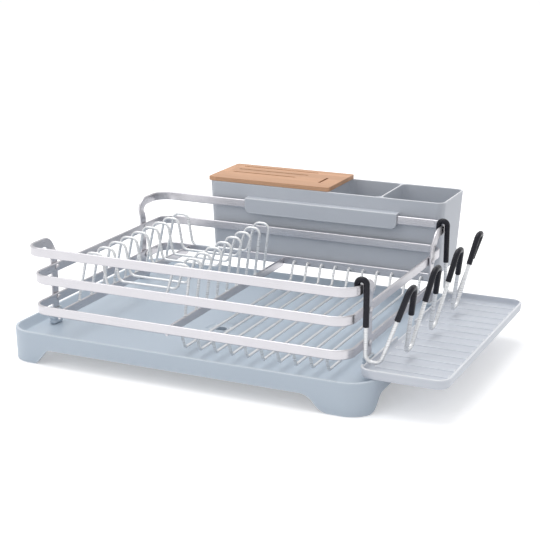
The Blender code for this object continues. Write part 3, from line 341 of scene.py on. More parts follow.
def wire(name, path, radius, finish, flare=0.0, sides=4):
    """A round wire along the path, its ends swollen by the flare where they are welded."""
    curve = bpy.data.curves.new(name, "CURVE")
    curve.dimensions = "3D"
    spline = curve.splines.new("POLY")
    spline.points.add(len(path) - 1)
    for point, where in zip(spline.points, path):
        point.co = (*where, 1)
        point.radius = 1
    spline.points[0].radius = 1 + flare
    spline.points[-1].radius = 1 + flare
    spline.use_smooth = True
    curve.twist_mode = "MINIMUM"
    curve.bevel_depth = radius
    curve.bevel_resolution = sides
    curve.use_fill_caps = True
    item = place(name, curve, finish)
    graph = bpy.context.evaluated_depsgraph_get()
    mesh = bpy.data.meshes.new_from_object(item.evaluated_get(graph))
    bpy.data.objects.remove(item, do_unlink=True)
    shape = bmesh.new()
    shape.from_mesh(mesh)
    bmesh.ops.remove_doubles(shape, verts=shape.verts, dist=MERGE_REACH)
    item = place(name, finished_mesh(shape, name), finish)
    smooth(item, 50)
    return item


def stand_for(item, body, node):
    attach(item, body)
    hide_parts(node)
    return item


# Finishes: how deep the painted edge highlight reaches, and the strength and depth of each relief
EDGE_REACH = 0.002
PLASTIC_RELIEF = (0.12, 0.0001)
SLEEVE_RELIEF = (0.08, 0.0001)
BAR_RELIEF = (0.10, 0.00005)
WIRE_RELIEF = (0.04, 0.00005)
FIBRE_RELIEF = (0.25, 0.0002)


class Board:
    """A node tree with short ways to add and join nodes."""

    def __init__(self, tree):
        self.tree = tree

    def add(self, kind, **values):
        node = self.tree.nodes.new(kind)
        for name, value in values.items():
            if hasattr(node, name):
                setattr(node, name, value)
            else:
                node.inputs[name.replace("_", " ")].default_value = value
        return node

    def join(self, start, end):
        self.tree.links.new(start, end)

    def put(self, value, socket):
        """Joins an output to the socket, or writes a plain value there."""
        if isinstance(value, bpy.types.NodeSocket):
            self.join(value, socket)
        else:
            socket.default_value = value

    def ramp(self, source, stops):
        node = self.add("ShaderNodeValToRGB")
        elements = node.color_ramp.elements
        while len(elements) < len(stops):
            elements.new(0.5)
        for element, (position, colour) in zip(elements, stops):
            element.position = position
            element.color = colour
        self.join(source, node.inputs["Fac"])
        return node.outputs["Color"]

    def mix(self, factor, first, second, mode="MIX"):
        node = self.add("ShaderNodeMix", data_type="RGBA", blend_type=mode)
        for value, socket in ((factor, node.inputs[0]), (first, node.inputs[6]), (second, node.inputs[7])):
            self.put(value, socket)
        return node.outputs[2]

    def product(self, first, second):
        node = self.add("ShaderNodeMath", operation="MULTIPLY")
        self.join(first, node.inputs[0])
        self.join(second, node.inputs[1])
        return node.outputs[0]

    def scaled(self, value, low, high):
        node = self.add("ShaderNodeMapRange")
        self.join(value, node.inputs["Value"])
        self.put(low, node.inputs["To Min"])
        self.put(high, node.inputs["To Max"])
        return node.outputs["Result"]

    def relief(self, height, strength_and_depth, normal):
        """Joins a height to a shader's normal as bump."""
        strength, depth = strength_and_depth
        node = self.add("ShaderNodeBump", Strength=strength, Distance=depth)
        self.join(height, node.inputs["Height"])
        self.join(node.outputs["Normal"], normal)


def new_group(name, inputs, outputs):
    group = bpy.data.node_groups.new(name, "ShaderNodeTree")
    for label, kind, default in inputs:
        socket = group.interface.new_socket(name=label, in_out="INPUT", socket_type=kind)
        socket.default_value = default
    for label, kind in outputs:
        group.interface.new_socket(name=label, in_out="OUTPUT", socket_type=kind)
    board = Board(group)
    return board, board.add("NodeGroupInput").outputs, board.add("NodeGroupOutput").inputs


def moulded_group():
    """Moulded plastic: fine spark-eroded grain, slow tone changes, and a painted highlight that turns convex
    edges pale, most on top.
    """
    board, given, out = new_group(
        "moulded_plastic",
        [
            ("Colour", "NodeSocketColor", (0.5, 0.5, 0.5, 1)),
            ("Roughness", "NodeSocketFloat", 0.5),
            ("Tone Change", "NodeSocketFloat", 0.04),
            ("Painted Edge Highlight", "NodeSocketFloat", 0.3),
        ],
        [("Colour", "NodeSocketColor"), ("Roughness", "NodeSocketFloat"), ("Height", "NodeSocketFloat")],
    )
    where = board.add("ShaderNodeTexCoord").outputs["Object"]
    slow = board.add("ShaderNodeTexNoise", Scale=9.0, Detail=3.0)
    grain = board.add("ShaderNodeTexNoise", Scale=1500.0, Detail=2.0)
    board.join(where, slow.inputs["Vector"])
    board.join(where, grain.inputs["Vector"])
    tone = board.ramp(slow.outputs["Fac"], ((0.3, (0.90, 0.91, 0.93, 1)), (0.7, (1, 1, 1, 1))))
    toned = board.mix(given["Tone Change"], (1, 1, 1, 1), tone)
    colour = board.mix(1.0, given["Colour"], toned, "MULTIPLY")
    # Painted highlight: convex edges, found by ambient occlusion inside the shape, are mixed halfway to
    # white, more where the surface faces up, standing in for light caught from above
    within = board.add(
        "ShaderNodeAmbientOcclusion", inside=True, only_local=True, samples=8, Distance=EDGE_REACH
    )
    edges = board.ramp(within.outputs["AO"], ((0.70, (1, 1, 1, 1)), (0.96, (0, 0, 0, 1))))
    facing = board.add("ShaderNodeSeparateXYZ")
    board.join(board.add("ShaderNodeNewGeometry").outputs["Normal"], facing.inputs[0])
    painted_highlight_mask = board.product(edges, board.scaled(facing.outputs["Z"], 0.25, 1.0))
    painted_highlight_amount = board.product(painted_highlight_mask, given["Painted Edge Highlight"])
    highlight_colour = board.mix(0.5, given["Colour"], (1, 1, 1, 1))
    board.join(board.mix(painted_highlight_amount, colour, highlight_colour), out["Colour"])
    lift = board.add("ShaderNodeMath", operation="MULTIPLY_ADD")
    board.join(board.scaled(grain.outputs["Fac"], -1.0, 1.0), lift.inputs[0])
    lift.inputs[1].default_value = 0.05
    board.join(given["Roughness"], lift.inputs[2])
    board.join(lift.outputs[0], out["Roughness"])
    board.join(grain.outputs["Fac"], out["Height"])
    return board.tree


def drawn_group():
    """Drawn metal: streaks along the bars and slight tone changes."""
    board, given, out = new_group(
        "drawn_metal",
        [
            ("Colour", "NodeSocketColor", (0.7, 0.7, 0.7, 1)),
            ("Roughness", "NodeSocketFloat", 0.3),
            ("Streak", "NodeSocketFloat", 0.08),
        ],
        [("Colour", "NodeSocketColor"), ("Roughness", "NodeSocketFloat"), ("Height", "NodeSocketFloat")],
    )
    where = board.add("ShaderNodeTexCoord").outputs["Object"]
    stretch = board.add("ShaderNodeMapping")
    stretch.inputs["Scale"].default_value = (18, 18, 2600)
    board.join(where, stretch.inputs["Vector"])
    streak = board.add("ShaderNodeTexNoise", Scale=1.0, Detail=3.0)
    board.join(stretch.outputs["Vector"], streak.inputs["Vector"])
    cloud = board.add("ShaderNodeTexNoise", Scale=60.0, Detail=2.0)
    board.join(where, cloud.inputs["Vector"])
    dimmer = board.mix(1.0, given["Colour"], (0.86, 0.86, 0.87, 1), "MULTIPLY")
    tone = board.mix(board.scaled(cloud.outputs["Fac"], 0.0, 0.5), given["Colour"], dimmer)
    board.join(tone, out["Colour"])
    shift = board.product(board.scaled(streak.outputs["Fac"], -1.0, 1.0), given["Streak"])
    total = board.add("ShaderNodeMath", operation="ADD")
    board.join(shift, total.inputs[0])
    board.join(given["Roughness"], total.inputs[1])
    board.join(total.outputs[0], out["Roughness"])
    board.join(streak.outputs["Fac"], out["Height"])
    return board.tree


def new_material(name):
    made = bpy.data.materials.new(name)
    made.use_nodes = True
    return made, Board(made.node_tree), made.node_tree.nodes["Principled BSDF"]


def finish_from(name, group, values, relief, metallic=0.0, specular=0.5, coat=0.0):
    """A material whose colour, roughness and bump come from one of the groups."""
    made, board, shader = new_material(name)
    shader.inputs["Metallic"].default_value = metallic
    shader.inputs["Specular IOR Level"].default_value = specular
    shader.inputs["Coat Weight"].default_value = coat
    source = board.add("ShaderNodeGroup")
    source.node_tree = group
    for label, value in values.items():
        source.inputs[label].default_value = value
    board.join(source.outputs["Colour"], shader.inputs["Base Color"])
    board.join(source.outputs["Roughness"], shader.inputs["Roughness"])
    board.relief(source.outputs["Height"], relief, shader.inputs["Normal"])
    return made


def bamboo_finish(colour):
    """Glued bamboo strips along X, each of its own tone, with fibres and darker nodes."""
    made, board, shader = new_material("bamboo_board")
    where = board.add("ShaderNodeTexCoord").outputs["Object"]
    strips = board.add("ShaderNodeTexBrick", offset=0.37, offset_frequency=1, squash=1.0)
    for label, value in (
        ("Color1", (0, 0, 0, 1)), ("Color2", (1, 1, 1, 1)), ("Mortar", (0.2, 0.2, 0.2, 1)),
        ("Scale", 1.0), ("Mortar Size", 0.0002), ("Brick Width", 0.31), ("Row Height", 0.0105),
    ):
        strips.inputs[label].default_value = value
    board.join(where, strips.inputs["Vector"])
    stretch = board.add("ShaderNodeMapping")
    stretch.inputs["Scale"].default_value = (24, 1500, 1500)
    board.join(where, stretch.inputs["Vector"])
    fibre = board.add("ShaderNodeTexNoise", Scale=1.0, Detail=4.0)
    board.join(stretch.outputs["Vector"], fibre.inputs["Vector"])
    pale = tuple(min(1, channel * 1.12) for channel in colour[:3]) + (1,)
    dark = tuple(channel * 0.80 for channel in colour[:3]) + (1,)
    tone = board.mix(board.scaled(strips.outputs["Color"], 0.15, 0.85), dark, pale)
    threads = board.ramp(fibre.outputs["Fac"], ((0.35, (0.78, 0.74, 0.70, 1)), (0.6, (1, 1, 1, 1))))
    board.join(board.mix(0.55, tone, board.mix(1.0, tone, threads, "MULTIPLY")), shader.inputs["Base Color"])
    board.join(board.scaled(fibre.outputs["Fac"], 0.62, 0.48), shader.inputs["Roughness"])
    board.relief(fibre.outputs["Fac"], FIBRE_RELIEF, shader.inputs["Normal"])
    return made


FINISHES = {}


def make_finishes(colours):
    moulded = moulded_group()
    drawn = drawn_group()
    # The plastics' edge value of 0.9 is the strength of the painted edge highlight; the dark vinyl has none
    FINISHES["tray"] = finish_from(
        "tray_plastic", moulded,
        {"Colour": colours.tray, "Roughness": 0.42, "Tone Change": 0.5, "Painted Edge Highlight": 0.9},
        PLASTIC_RELIEF,
    )
    FINISHES["side_tray"] = finish_from(
        "side_tray_plastic", moulded,
        {"Colour": colours.side_tray, "Roughness": 0.42, "Tone Change": 0.4, "Painted Edge Highlight": 0.9},
        PLASTIC_RELIEF,
    )
    FINISHES["caddy"] = finish_from(
        "caddy_plastic", moulded,
        {"Colour": colours.caddy, "Roughness": 0.45, "Tone Change": 0.5, "Painted Edge Highlight": 0.9},
        PLASTIC_RELIEF,
    )
    FINISHES["bar"] = finish_from(
        "anodised_bar", drawn, {"Colour": colours.bar, "Roughness": 0.30, "Streak": 0.10},
        BAR_RELIEF, metallic=1.0,
    )
    FINISHES["wire"] = finish_from(
        "bright_wire", drawn, {"Colour": colours.wire, "Roughness": 0.28, "Streak": 0.04},
        WIRE_RELIEF, metallic=0.45,
    )
    FINISHES["sleeve"] = finish_from(
        "dark_vinyl", moulded,
        {"Colour": colours.sleeve, "Roughness": 0.27, "Tone Change": 0.3, "Painted Edge Highlight": 0.0},
        SLEEVE_RELIEF, specular=0.22,
    )
    FINISHES["bamboo"] = bamboo_finish(tuple(colours.bamboo))


# Drip tray sizes
TRAY_CORNER = 0.030
FLOOR_HEIGHT = 0.027
FLOOR_FALL = 0.0022
FLOOR_THICKNESS = 0.0033
TRAY_WALL = 0.003
RIM_LAND = 0.0032
BASIN_SLOPE = 0.0065
TRAY_DRAFT = 0.0009
RIM_ROUNDING = 0.0012
# How far the rim's inner rounding spreads, is set in and falls, as shares of the rounding
RIM_SPREAD_SHARE = 0.5
RIM_SET_SHARE = 0.2
RIM_FALL_SHARE = 0.6
FLOOR_FILLET = 0.003
APRON_LIFT = 0.0175
ARCH_LEAD = 0.024
ARCH_LEAD_DROP = 0.0006
RIB_THICKNESS = 0.0024
RIB_DROP = 0.0035
RIB_PLACES = (-0.60, -0.20, 0.20, 0.60)
FOOT_SLOPE = 0.015
# Each foot's length along its wall, and the roundings at the foot and at the top of its slope
LEFT_FOOT = (0.0390, 0.004, 0.009)
RIGHT_FOOT = (0.0515, 0.020, 0.020)
END_FOOT = (0.0200, 0.015, 0.015)
DRAIN = Vector((-0.015, -0.031, 0))
SUMP_RADIUS = 0.017
SUMP_BOTTOM_RADIUS = 0.0105
SUMP_DEPTH = 0.0028
# The sump's rounded edge and foot: outward reach and height of their rings
SUMP_EDGE_REACH = 0.0012
SUMP_EDGE_DROP = 0.0003
SUMP_SHOULDER = 0.001
SUMP_SHOULDER_DROP = 0.0009
SUMP_FOOT_REACH = 0.001
SUMP_FOOT_RISE = 0.0004
DRAIN_HOLE_RADIUS = 0.0075
NECK_RADIUS = 0.0115
NECK_LIP = 0.0014
NECK_LIP_HEIGHT = 0.0016


def tray_outline(inset):
    half_x = TRAY_HALF_X - inset
    half_y = TRAY_HALF_Y - inset
    return rounded_box(-half_x, half_x, -half_y, half_y, TRAY_CORNER - inset)


def basin_rings():
    """Down the basin's wall, over its foot fillet, across the falling floor and into the sump."""
    foot = RIM_LAND + BASIN_SLOPE
    steep = (TRAY_RIM - FLOOR_HEIGHT) / BASIN_SLOPE
    half_fillet = FLOOR_FILLET / 2
    rings = [at_height(tray_outline(RIM_LAND), TRAY_RIM + OVERRUN)]
    for turn in quarter_turn(3):
        inset = RIM_LAND + RIM_ROUNDING * (math.sin(turn) - 1) * RIM_SPREAD_SHARE
        inset += RIM_ROUNDING * RIM_SET_SHARE
        height = TRAY_RIM - RIM_ROUNDING * (1 - math.cos(turn)) * RIM_FALL_SHARE
        rings.append(at_height(tray_outline(inset), height))
    rings.append(at_height(tray_outline(foot - half_fillet), FLOOR_HEIGHT + half_fillet * steep))
    for part in range(1, 5):
        share = part / 4
        inset = foot - half_fillet * (1 - share) ** 2 + half_fillet * share ** 2
        height = FLOOR_HEIGHT + half_fillet * steep * (1 - share) ** 2
        rings.append(at_height(tray_outline(inset), height))
    floor = rings[-1]
    directions = [math.atan2(point.y - DRAIN.y, point.x - DRAIN.x) for point in floor]
    low = FLOOR_HEIGHT - FLOOR_FALL
    bottom = low - SUMP_DEPTH
    for radius, height in (
        (SUMP_RADIUS + SUMP_EDGE_REACH, low), (SUMP_RADIUS, low - SUMP_EDGE_DROP),
        (SUMP_RADIUS - SUMP_SHOULDER, low - SUMP_SHOULDER_DROP),
        (SUMP_BOTTOM_RADIUS + SUMP_FOOT_REACH, bottom + SUMP_FOOT_RISE), (SUMP_BOTTOM_RADIUS, bottom),
    ):
        rings.append([
            Vector((DRAIN.x + radius * math.cos(turn), DRAIN.y + radius * math.sin(turn), height))
            for turn in directions
        ])
    return rings


def arch(half_length, left_foot, right_foot):
    """The opening between two feet, each with an S-shaped slope down to its sole."""
    points = []
    roundings = []
    for side, (length, low_rounding, high_rounding) in ((1, right_foot), (-1, left_foot)):
        low = half_length - length
        slope = [(low + ARCH_LEAD, -ARCH_LEAD_DROP), (low, 0), (low - FOOT_SLOPE, APRON_LIFT)]
        points += [(side * along, height) for along, height in slope[::side]]
        roundings += [0, low_rounding, high_rounding][::side]
    return filleted(points, roundings)


class DRAINER_OT_tray(bpy.types.Operator):
    """Builds the drip tray with its basin, sump, arches and hollow underside"""

    bl_idname = "drainer.tray"
    bl_label = "Drip Tray"

    def execute(self, context):
        sizes = context.scene.drainer_sizes
        rings = [at_height(tray_outline(TRAY_DRAFT), 0)]
        for turn in quarter_turn(4):
            inset = RIM_ROUNDING * (1 - math.cos(turn))
            rings.append(at_height(tray_outline(inset), TRAY_RIM - RIM_ROUNDING * (1 - math.sin(turn))))
        tray = place("drip_tray_moulding", lofted("drip_tray_moulding", rings), FINISHES["tray"])
        carve(tray, lofted("basin", basin_rings()))
        beyond_x = TRAY_HALF_X + OVERRUN
        beyond_y = TRAY_HALF_Y + OVERRUN
        long_arch = arch(TRAY_HALF_X, LEFT_FOOT, RIGHT_FOOT)
        short_arch = arch(TRAY_HALF_Y, END_FOOT, END_FOOT)
        carve(tray, extruded("long_arch", long_arch, -beyond_y, beyond_y, "XZ"))
        carve(tray, extruded("short_arch", short_arch, -beyond_x, beyond_x, "YZ"))
        ceiling = FLOOR_HEIGHT - FLOOR_FALL - FLOOR_THICKNESS
        carve(tray, extruded("hollow", tray_outline(TRAY_WALL + TRAY_DRAFT), -OVERRUN, ceiling))
        rib_reach = TRAY_HALF_Y - TRAY_WALL
        ribs = [
            ((TRAY_HALF_X * share - RIB_THICKNESS / 2, -rib_reach, ceiling - RIB_DROP),
             (TRAY_HALF_X * share + RIB_THICKNESS / 2, rib_reach, ceiling + TRAY_WALL / 2))
            for share in RIB_PLACES
        ]
        carve(tray, boxes("ribs", ribs), "UNION")
        plate_bottom = SPOUT_HIGH.z - SPOUT_WALL - GAP
        lip_bottom = plate_bottom - NECK_LIP_HEIGHT
        neck = turned("neck", [
            (0, ceiling + FLOOR_THICKNESS / 3), (NECK_RADIUS, ceiling + FLOOR_THICKNESS / 3),
            (NECK_RADIUS, plate_bottom), (NECK_RADIUS + NECK_LIP, plate_bottom),
            (NECK_RADIUS, lip_bottom), (0, lip_bottom),
        ], HUB_STEPS)
        neck.transform(Matrix.Translation(DRAIN))
        carve(tray, neck, "UNION")
        carve(tray, rods("hole", [DRAIN + Vector((0, 0, TRAY_RIM / 2))], DRAIN_HOLE_RADIUS, TRAY_RIM))
        soften(tray, sizes.edge_rounding)
        stand_for(tray, "drip_tray", "drip_tray")
        return {"FINISHED"}


# Drain spout sizes
HUB_RADIUS = 0.020
SPOUT_WALL = 0.002
ARM_WIDTH = 0.024
TIP_WIDTH = 0.019
SPOUT_REACH = 0.205
SPOUT_TIP_ROUNDING = 0.003
SPOUT_EDGE = 0.0004
HUB_STEPS = 48


class DRAINER_OT_spout(bpy.types.Operator):
    """Builds the swivelling trough under the drain"""

    bl_idname = "drainer.spout"
    bl_label = "Drain Spout"

    def execute(self, context):
        low, top = SPOUT_LOW.z, SPOUT_HIGH.z
        floor = low + SPOUT_WALL
        plate = top - SPOUT_WALL
        side = math.asin(ARM_WIDTH / 2 / HUB_RADIUS)
        start = math.pi / 2 + side
        sweep = math.tau - 2 * side
        turns = [start + sweep * part / HUB_STEPS for part in range(HUB_STEPS + 1)]
        outline = [(HUB_RADIUS * math.cos(turn), HUB_RADIUS * math.sin(turn)) for turn in turns]
        half_tip = TIP_WIDTH / 2
        tip = filleted(
            [outline[-1], (half_tip, SPOUT_REACH), (-half_tip, SPOUT_REACH), outline[0]],
            SPOUT_TIP_ROUNDING,
        )
        outline += tip[1:-1]
        spout = place("spout_trough", extruded("spout_trough", outline, low, top), FINISHES["tray"])
        spout.location = CENTRE + DRAIN
        middle = Vector((0, 0, (floor + plate) / 2))
        carve(spout, rods("cup", [middle], HUB_RADIUS - SPOUT_WALL, plate - floor, sides=HUB_STEPS))
        arm = ARM_WIDTH / 2 - SPOUT_WALL
        inner_tip = half_tip - SPOUT_WALL
        beyond = SPOUT_REACH + OVERRUN
        trough = [(inner_tip, beyond), (-inner_tip, beyond), (-arm, HUB_RADIUS), (arm, HUB_RADIUS)]
        carve(spout, extruded("trough", trough, floor, top + OVERRUN))
        carve(spout, boxes("way", [((-arm, 0, floor), (arm, HUB_RADIUS + OVERRUN, plate))]))
        eye = rods("eye", [Vector((0, 0, top))], NECK_RADIUS + GAP, 2 * SPOUT_WALL + GAP, sides=HUB_STEPS)
        carve(spout, eye)
        soften(spout, SPOUT_EDGE)
        stand_for(spout, "drain_spout", "drain_spout")
        return {"FINISHED"}


def loop_sections(low, high, corner, step=FINE):
    """Sections round a closed rail, on the middle of its thickness."""
    half_x = high.x - BAR_THICKNESS / 2
    half_y = high.y - BAR_THICKNESS / 2
    path = rounded_box(-half_x, half_x, -half_y, half_y, corner - BAR_THICKNESS / 2, step)
    height = (low.z + high.z) / 2
    sections = []
    for index, point in enumerate(path):
        ahead = path[(index + 1) % len(path)]
        behind = path[index - 1]
        along = Vector((*(ahead - behind).normalized(), 0))
        outward = along.cross(Vector((0, 0, 1)))
        sections.append((Vector((*point, height)), outward))
    return sections


def closed_sweep(name, rings):
    """A sweep whose last ring joins its first."""
    shape = bmesh.new()
    loops = [[shape.verts.new(point) for point in ring] for ring in rings]
    for index, lower in enumerate(loops):
        upper = loops[(index + 1) % len(loops)]
        for corner in range(len(lower)):
            after = (corner + 1) % len(lower)
            shape.faces.new((lower[corner], lower[after], upper[after], upper[corner]))
    return finished_mesh(shape, name)


class DRAINER_OT_rails(bpy.types.Operator):
    """Builds the two closed rails of flat bar"""

    bl_idname = "drainer.rails"
    bl_label = "Rails"

    def execute(self, context):
        rounding = context.scene.drainer_sizes.bar_rounding
        up = Vector((0, 0, 1))
        for name, node, low, high in (
            ("lower_rail_bar", "bottom_rail", RAIL_LOW, RAIL_HIGH),
            ("middle_rail_bar", "middle_rail", MIDDLE_LOW, MIDDLE_HIGH),
        ):
            rings = [
                bar_ring(centre, up, outward, high.z - low.z, BAR_THICKNESS, rounding)
                for centre, outward in loop_sections(low, high, RACK_CORNER)
            ]
            rail = place(name, closed_sweep(name, rings), FINISHES["bar"])
            smooth(rail)
            stand_for(rail, "rack", node)
        return {"FINISHED"}


BEND_STEPS = 14


def band_sections():
    """From the right leg's foot up its edgewise bend and round the corner to the front."""
    up, back, right = Vector((0, 0, 1)), Vector((0, 1, 0)), Vector((1, 0, 0))
    band_x = BAND_HIGH.x - BAR_THICKNESS / 2
    leg_x = band_x - LEG_LEAN
    top = BAND_HIGH.z
    outer_y = LEG_Y - LEG_WIDTH / 2
    bend_y = outer_y + LEG_BEND
    bend_z = top - LEG_BEND
    sections = []
    for height in (BAND_LOW.z, bend_z - LEG_LEAN_HEIGHT / 3):
        sections.append((Vector((leg_x, -LEG_Y, height)), back, right, LEG_WIDTH))
    for index, turn in enumerate(quarter_turn(BEND_STEPS)):
        width = LEG_WIDTH + (BAR_HEIGHT - LEG_WIDTH) * index / BEND_STEPS
        outward = back * math.cos(turn) + up * math.sin(turn)
        centre = Vector((0, -bend_y, bend_z)) + outward * (LEG_BEND - width / 2)
        lean = min(1, (LEG_BEND * math.sin(turn) + LEG_LEAN_HEIGHT / 3) / LEG_LEAN_HEIGHT)
        centre.x = leg_x + LEG_LEAN * (3 * lean ** 2 - 2 * lean ** 3)
        sections.append((centre, outward, right, width))
    radius = RACK_CORNER - BAR_THICKNESS / 2
    corner_y = BAND_LOW.y + RACK_CORNER
    for turn in quarter_turn(BEND_STEPS):
        outward = right * math.cos(turn) - back * math.sin(turn)
        centre = Vector((band_x - radius, corner_y, top - BAR_HEIGHT / 2)) + outward * radius
        sections.append((centre, up, outward, BAR_HEIGHT))
    return sections


class DRAINER_OT_bars(bpy.types.Operator):
    """Builds the front and rear top bars, each bent down into two legs"""

    bl_idname = "drainer.bars"
    bl_label = "Top Bars and Legs"

    def execute(self, context):
        rounding = context.scene.drainer_sizes.bar_rounding
        half = band_sections()
        whole = [(1, section) for section in half] + [(-1, section) for section in reversed(half)]
        for name, node, toward_y in (("front_bar", "front_top_bar", 1), ("rear_bar", "rear_top_bar", -1)):
            rings = []
            for toward_x, (centre, wide, thick, width) in whole:
                ring = bar_ring(centre, wide, thick, width, BAR_THICKNESS, rounding)
                rings.append([Vector((toward_x * p.x, toward_y * p.y, p.z)) for p in ring])
            bar = place(name, lofted(name, rings), FINISHES["bar"])
            smooth(bar)
            stand_for(bar, "rack", node)
        return {"FINISHED"}


# Rivet sizes
RIVET_DOME = 0.0017
RIVET_SHANK_SHARE = 0.5


class DRAINER_OT_rivets(bpy.types.Operator):
    """Builds the eight domed rivets"""

    bl_idname = "drainer.rivets"
    bl_label = "Rivets"

    def execute(self, context):
        for side in ("left", "right"):
            for end in ("front", "rear"):
                for level in ("lower", "upper"):
                    self.rivet(f"rivet_{end}_{side}_{level}")
        return {"FINISHED"}

    def rivet(self, node):
        low, high = near_box(node)
        middle = (low + high) / 2
        half = (high.x - low.x) / 2
        radius = (high.z - low.z) / 2
        shank = radius * RIVET_SHANK_SHARE
        seat = half - RIVET_DOME
        head = [(0, half)]
        for turn in quarter_turn(8)[1:]:
            head.append((radius * math.sin(turn), seat + RIVET_DOME * math.cos(turn)))
        profile = head + [(shank, seat - GAP), (shank, GAP - seat)]
        profile += [(reach, -height) for reach, height in reversed(head)]
        mesh = turned(node + "_dome", profile, 32)
        mesh.transform(Matrix.Rotation(math.pi / 2, 4, "Y"))
        mesh.transform(Matrix.Translation(middle))
        rivet = place(node + "_dome", mesh, FINISHES["bar"])
        smooth(rivet, 50)
        stand_for(rivet, "rack", node)


# Foot cap sizes
CAP_WALL = 0.0025
CAP_RIBS = 4
CAP_RIB_DEPTH = 0.0006
CAP_SOLE = 0.0035
CAP_EDGE = 0.0005
CAP_BANDS_PER_RIB = 8


class DRAINER_OT_caps(bpy.types.Operator):
    """Builds the ribbed socks on the four leg ends"""

    bl_idname = "drainer.caps"
    bl_label = "Foot Caps"

    def execute(self, context):
        for side in ("left", "right"):
            for end in ("front", "rear"):
                self.cap(f"foot_cap_{end}_{side}")
        return {"FINISHED"}

    def cap(self, node):
        low, high = near_box(node)
        rings = []
        bands = CAP_BANDS_PER_RIB * CAP_RIBS
        for band in range(bands + 1):
            share = band / bands
            wave = 0.5 + 0.5 * math.cos(math.tau * CAP_RIBS * share)
            inset = CAP_RIB_DEPTH * wave + (CAP_EDGE if band in (0, bands) else 0)
            outline = rounded_box(
                low.x + inset, high.x - inset, low.y + inset, high.y - inset, CAP_WALL, math.radians(15)
            )
            rings.append(at_height(outline, low.z + (high.z - low.z) * share))
        cap = place(node + "_sock", lofted(node + "_sock", rings), FINISHES["tray"])
        middle = (low + high) / 2
        socket = Vector((BAR_THICKNESS / 2 + GAP / 2, LEG_WIDTH / 2 + GAP / 2, 0))
        inner_low = Vector((middle.x, middle.y, low.z + CAP_SOLE)) - socket
        inner_high = Vector((middle.x, middle.y, high.z + OVERRUN)) + socket
        carve(cap, boxes("socket", [(inner_low, inner_high)]))
        smooth(cap, 60)
        stand_for(cap, "rack", node)


class DRAINER_OT_plate_bars(bpy.types.Operator):
    """Builds the two flat bars that carry the plate wires"""

    bl_idname = "drainer.plate_bars"
    bl_label = "Plate Bars"

    def execute(self, context):
        rounding = context.scene.drainer_sizes.bar_rounding
        up, right = Vector((0, 0, 1)), Vector((1, 0, 0))
        for node in ("plate_bar_left", "plate_bar_right"):
            low, high = near_box(node)
            middle = (low + high) / 2
            rings = [
                bar_ring(Vector((middle.x, y, middle.z)), up, right, high.z - low.z, BAR_THICKNESS, rounding)
                for y in (low.y, middle.y, high.y)
            ]
            bar = place(node + "_shape", lofted(node + "_shape", rings), FINISHES["bar"])
            smooth(bar)
            stand_for(bar, "rack", node)
        return {"FINISHED"}


# Plate wire sizes
PLATE_WIRE_COUNT = 9
LOOP_WIDTH = 0.0185
LOOP_INSET = 0.012
LOOP_FLARE = 0.0065
RIGHT_LOOP_FLARE = 0.0115
RIGHT_LOOP_OUTSET = 0.007
RUN_HEIGHT = 0.080
FOOT_RISE = 0.004
CREST_RADIUS = 0.0075
WELD_LENGTH = 0.0012


class DRAINER_OT_plate_wires(bpy.types.Operator):
    """Builds the bent wires that hold the plates"""

    bl_idname = "drainer.plate_wires"
    bl_label = "Plate Wires"

    def execute(self, context):
        sizes = context.scene.drainer_sizes
        foot = LEFT_BAR_HIGH.z + GAP / 2
        left_foot = (LEFT_BAR_LOW.x + LEFT_BAR_HIGH.x) / 2
        right_foot = (RIGHT_BAR_LOW.x + RIGHT_BAR_HIGH.x) / 2
        crest = WIRE_HIGH.z - sizes.plate_wire
        left = left_foot + LOOP_INSET
        right = right_foot + RIGHT_LOOP_OUTSET
        for index in range(PLATE_WIRE_COUNT):
            node = f"plate_wire_{index + 1}"
            low, high = near_box(node)
            y = (low.y + high.y) / 2
            corners = [
                (left_foot, foot), (left_foot, foot + FOOT_RISE), (left, crest),
                (left + LOOP_WIDTH, crest), (left + LOOP_WIDTH + LOOP_FLARE, RUN_HEIGHT),
                (right - LOOP_WIDTH - RIGHT_LOOP_FLARE, RUN_HEIGHT), (right - LOOP_WIDTH, crest),
                (right, crest), (right_foot, foot + FOOT_RISE), (right_foot, foot),
            ]
            path = filleted([(x, y, z) for x, z in corners], CREST_RADIUS)
            path.insert(1, path[0] + Vector((0, 0, WELD_LENGTH)))
            path.insert(-1, path[-1] + Vector((0, 0, WELD_LENGTH)))
            bent = wire(node + "_bent", path, sizes.plate_wire, FINISHES["wire"], sizes.weld_flare)
            stand_for(bent, "rack", node)
        return {"FINISHED"}


# Bowl wire sizes
BOWL_WIRE_COUNT = 10
BOWL_END_HEIGHT = 0.0565
BOWL_RUN_HEIGHT = 0.0365
BOWL_STUB = 0.0025
BOWL_DROP_LENGTH = 0.0085
BOWL_BEND = 0.004


class DRAINER_OT_bowl_wires(bpy.types.Operator):
    """Builds the wires of the bowl grid"""

    bl_idname = "drainer.bowl_wires"
    bl_label = "Bowl Grid"

    def execute(self, context):
        sizes = context.scene.drainer_sizes
        for index in range(BOWL_WIRE_COUNT):
            node = f"bowl_wire_{index + 1:02d}"
            low, high = near_box(node)
            x = (low.x + high.x) / 2
            end = high.y + GAP / 2
            stub = end - BOWL_STUB
            run = stub - BOWL_DROP_LENGTH
            front = [(x, -end, BOWL_END_HEIGHT), (x, -stub, BOWL_END_HEIGHT), (x, -run, BOWL_RUN_HEIGHT)]
            path = filleted(front + [(a, -b, c) for a, b, c in reversed(front)], BOWL_BEND)
            path.insert(1, path[0] + Vector((0, WELD_LENGTH, 0)))
            path.insert(-1, path[-1] - Vector((0, WELD_LENGTH, 0)))
            bent = wire(node + "_bent", path, sizes.plate_wire, FINISHES["wire"], sizes.weld_flare)
            stand_for(bent, "rack", node)
        return {"FINISHED"}


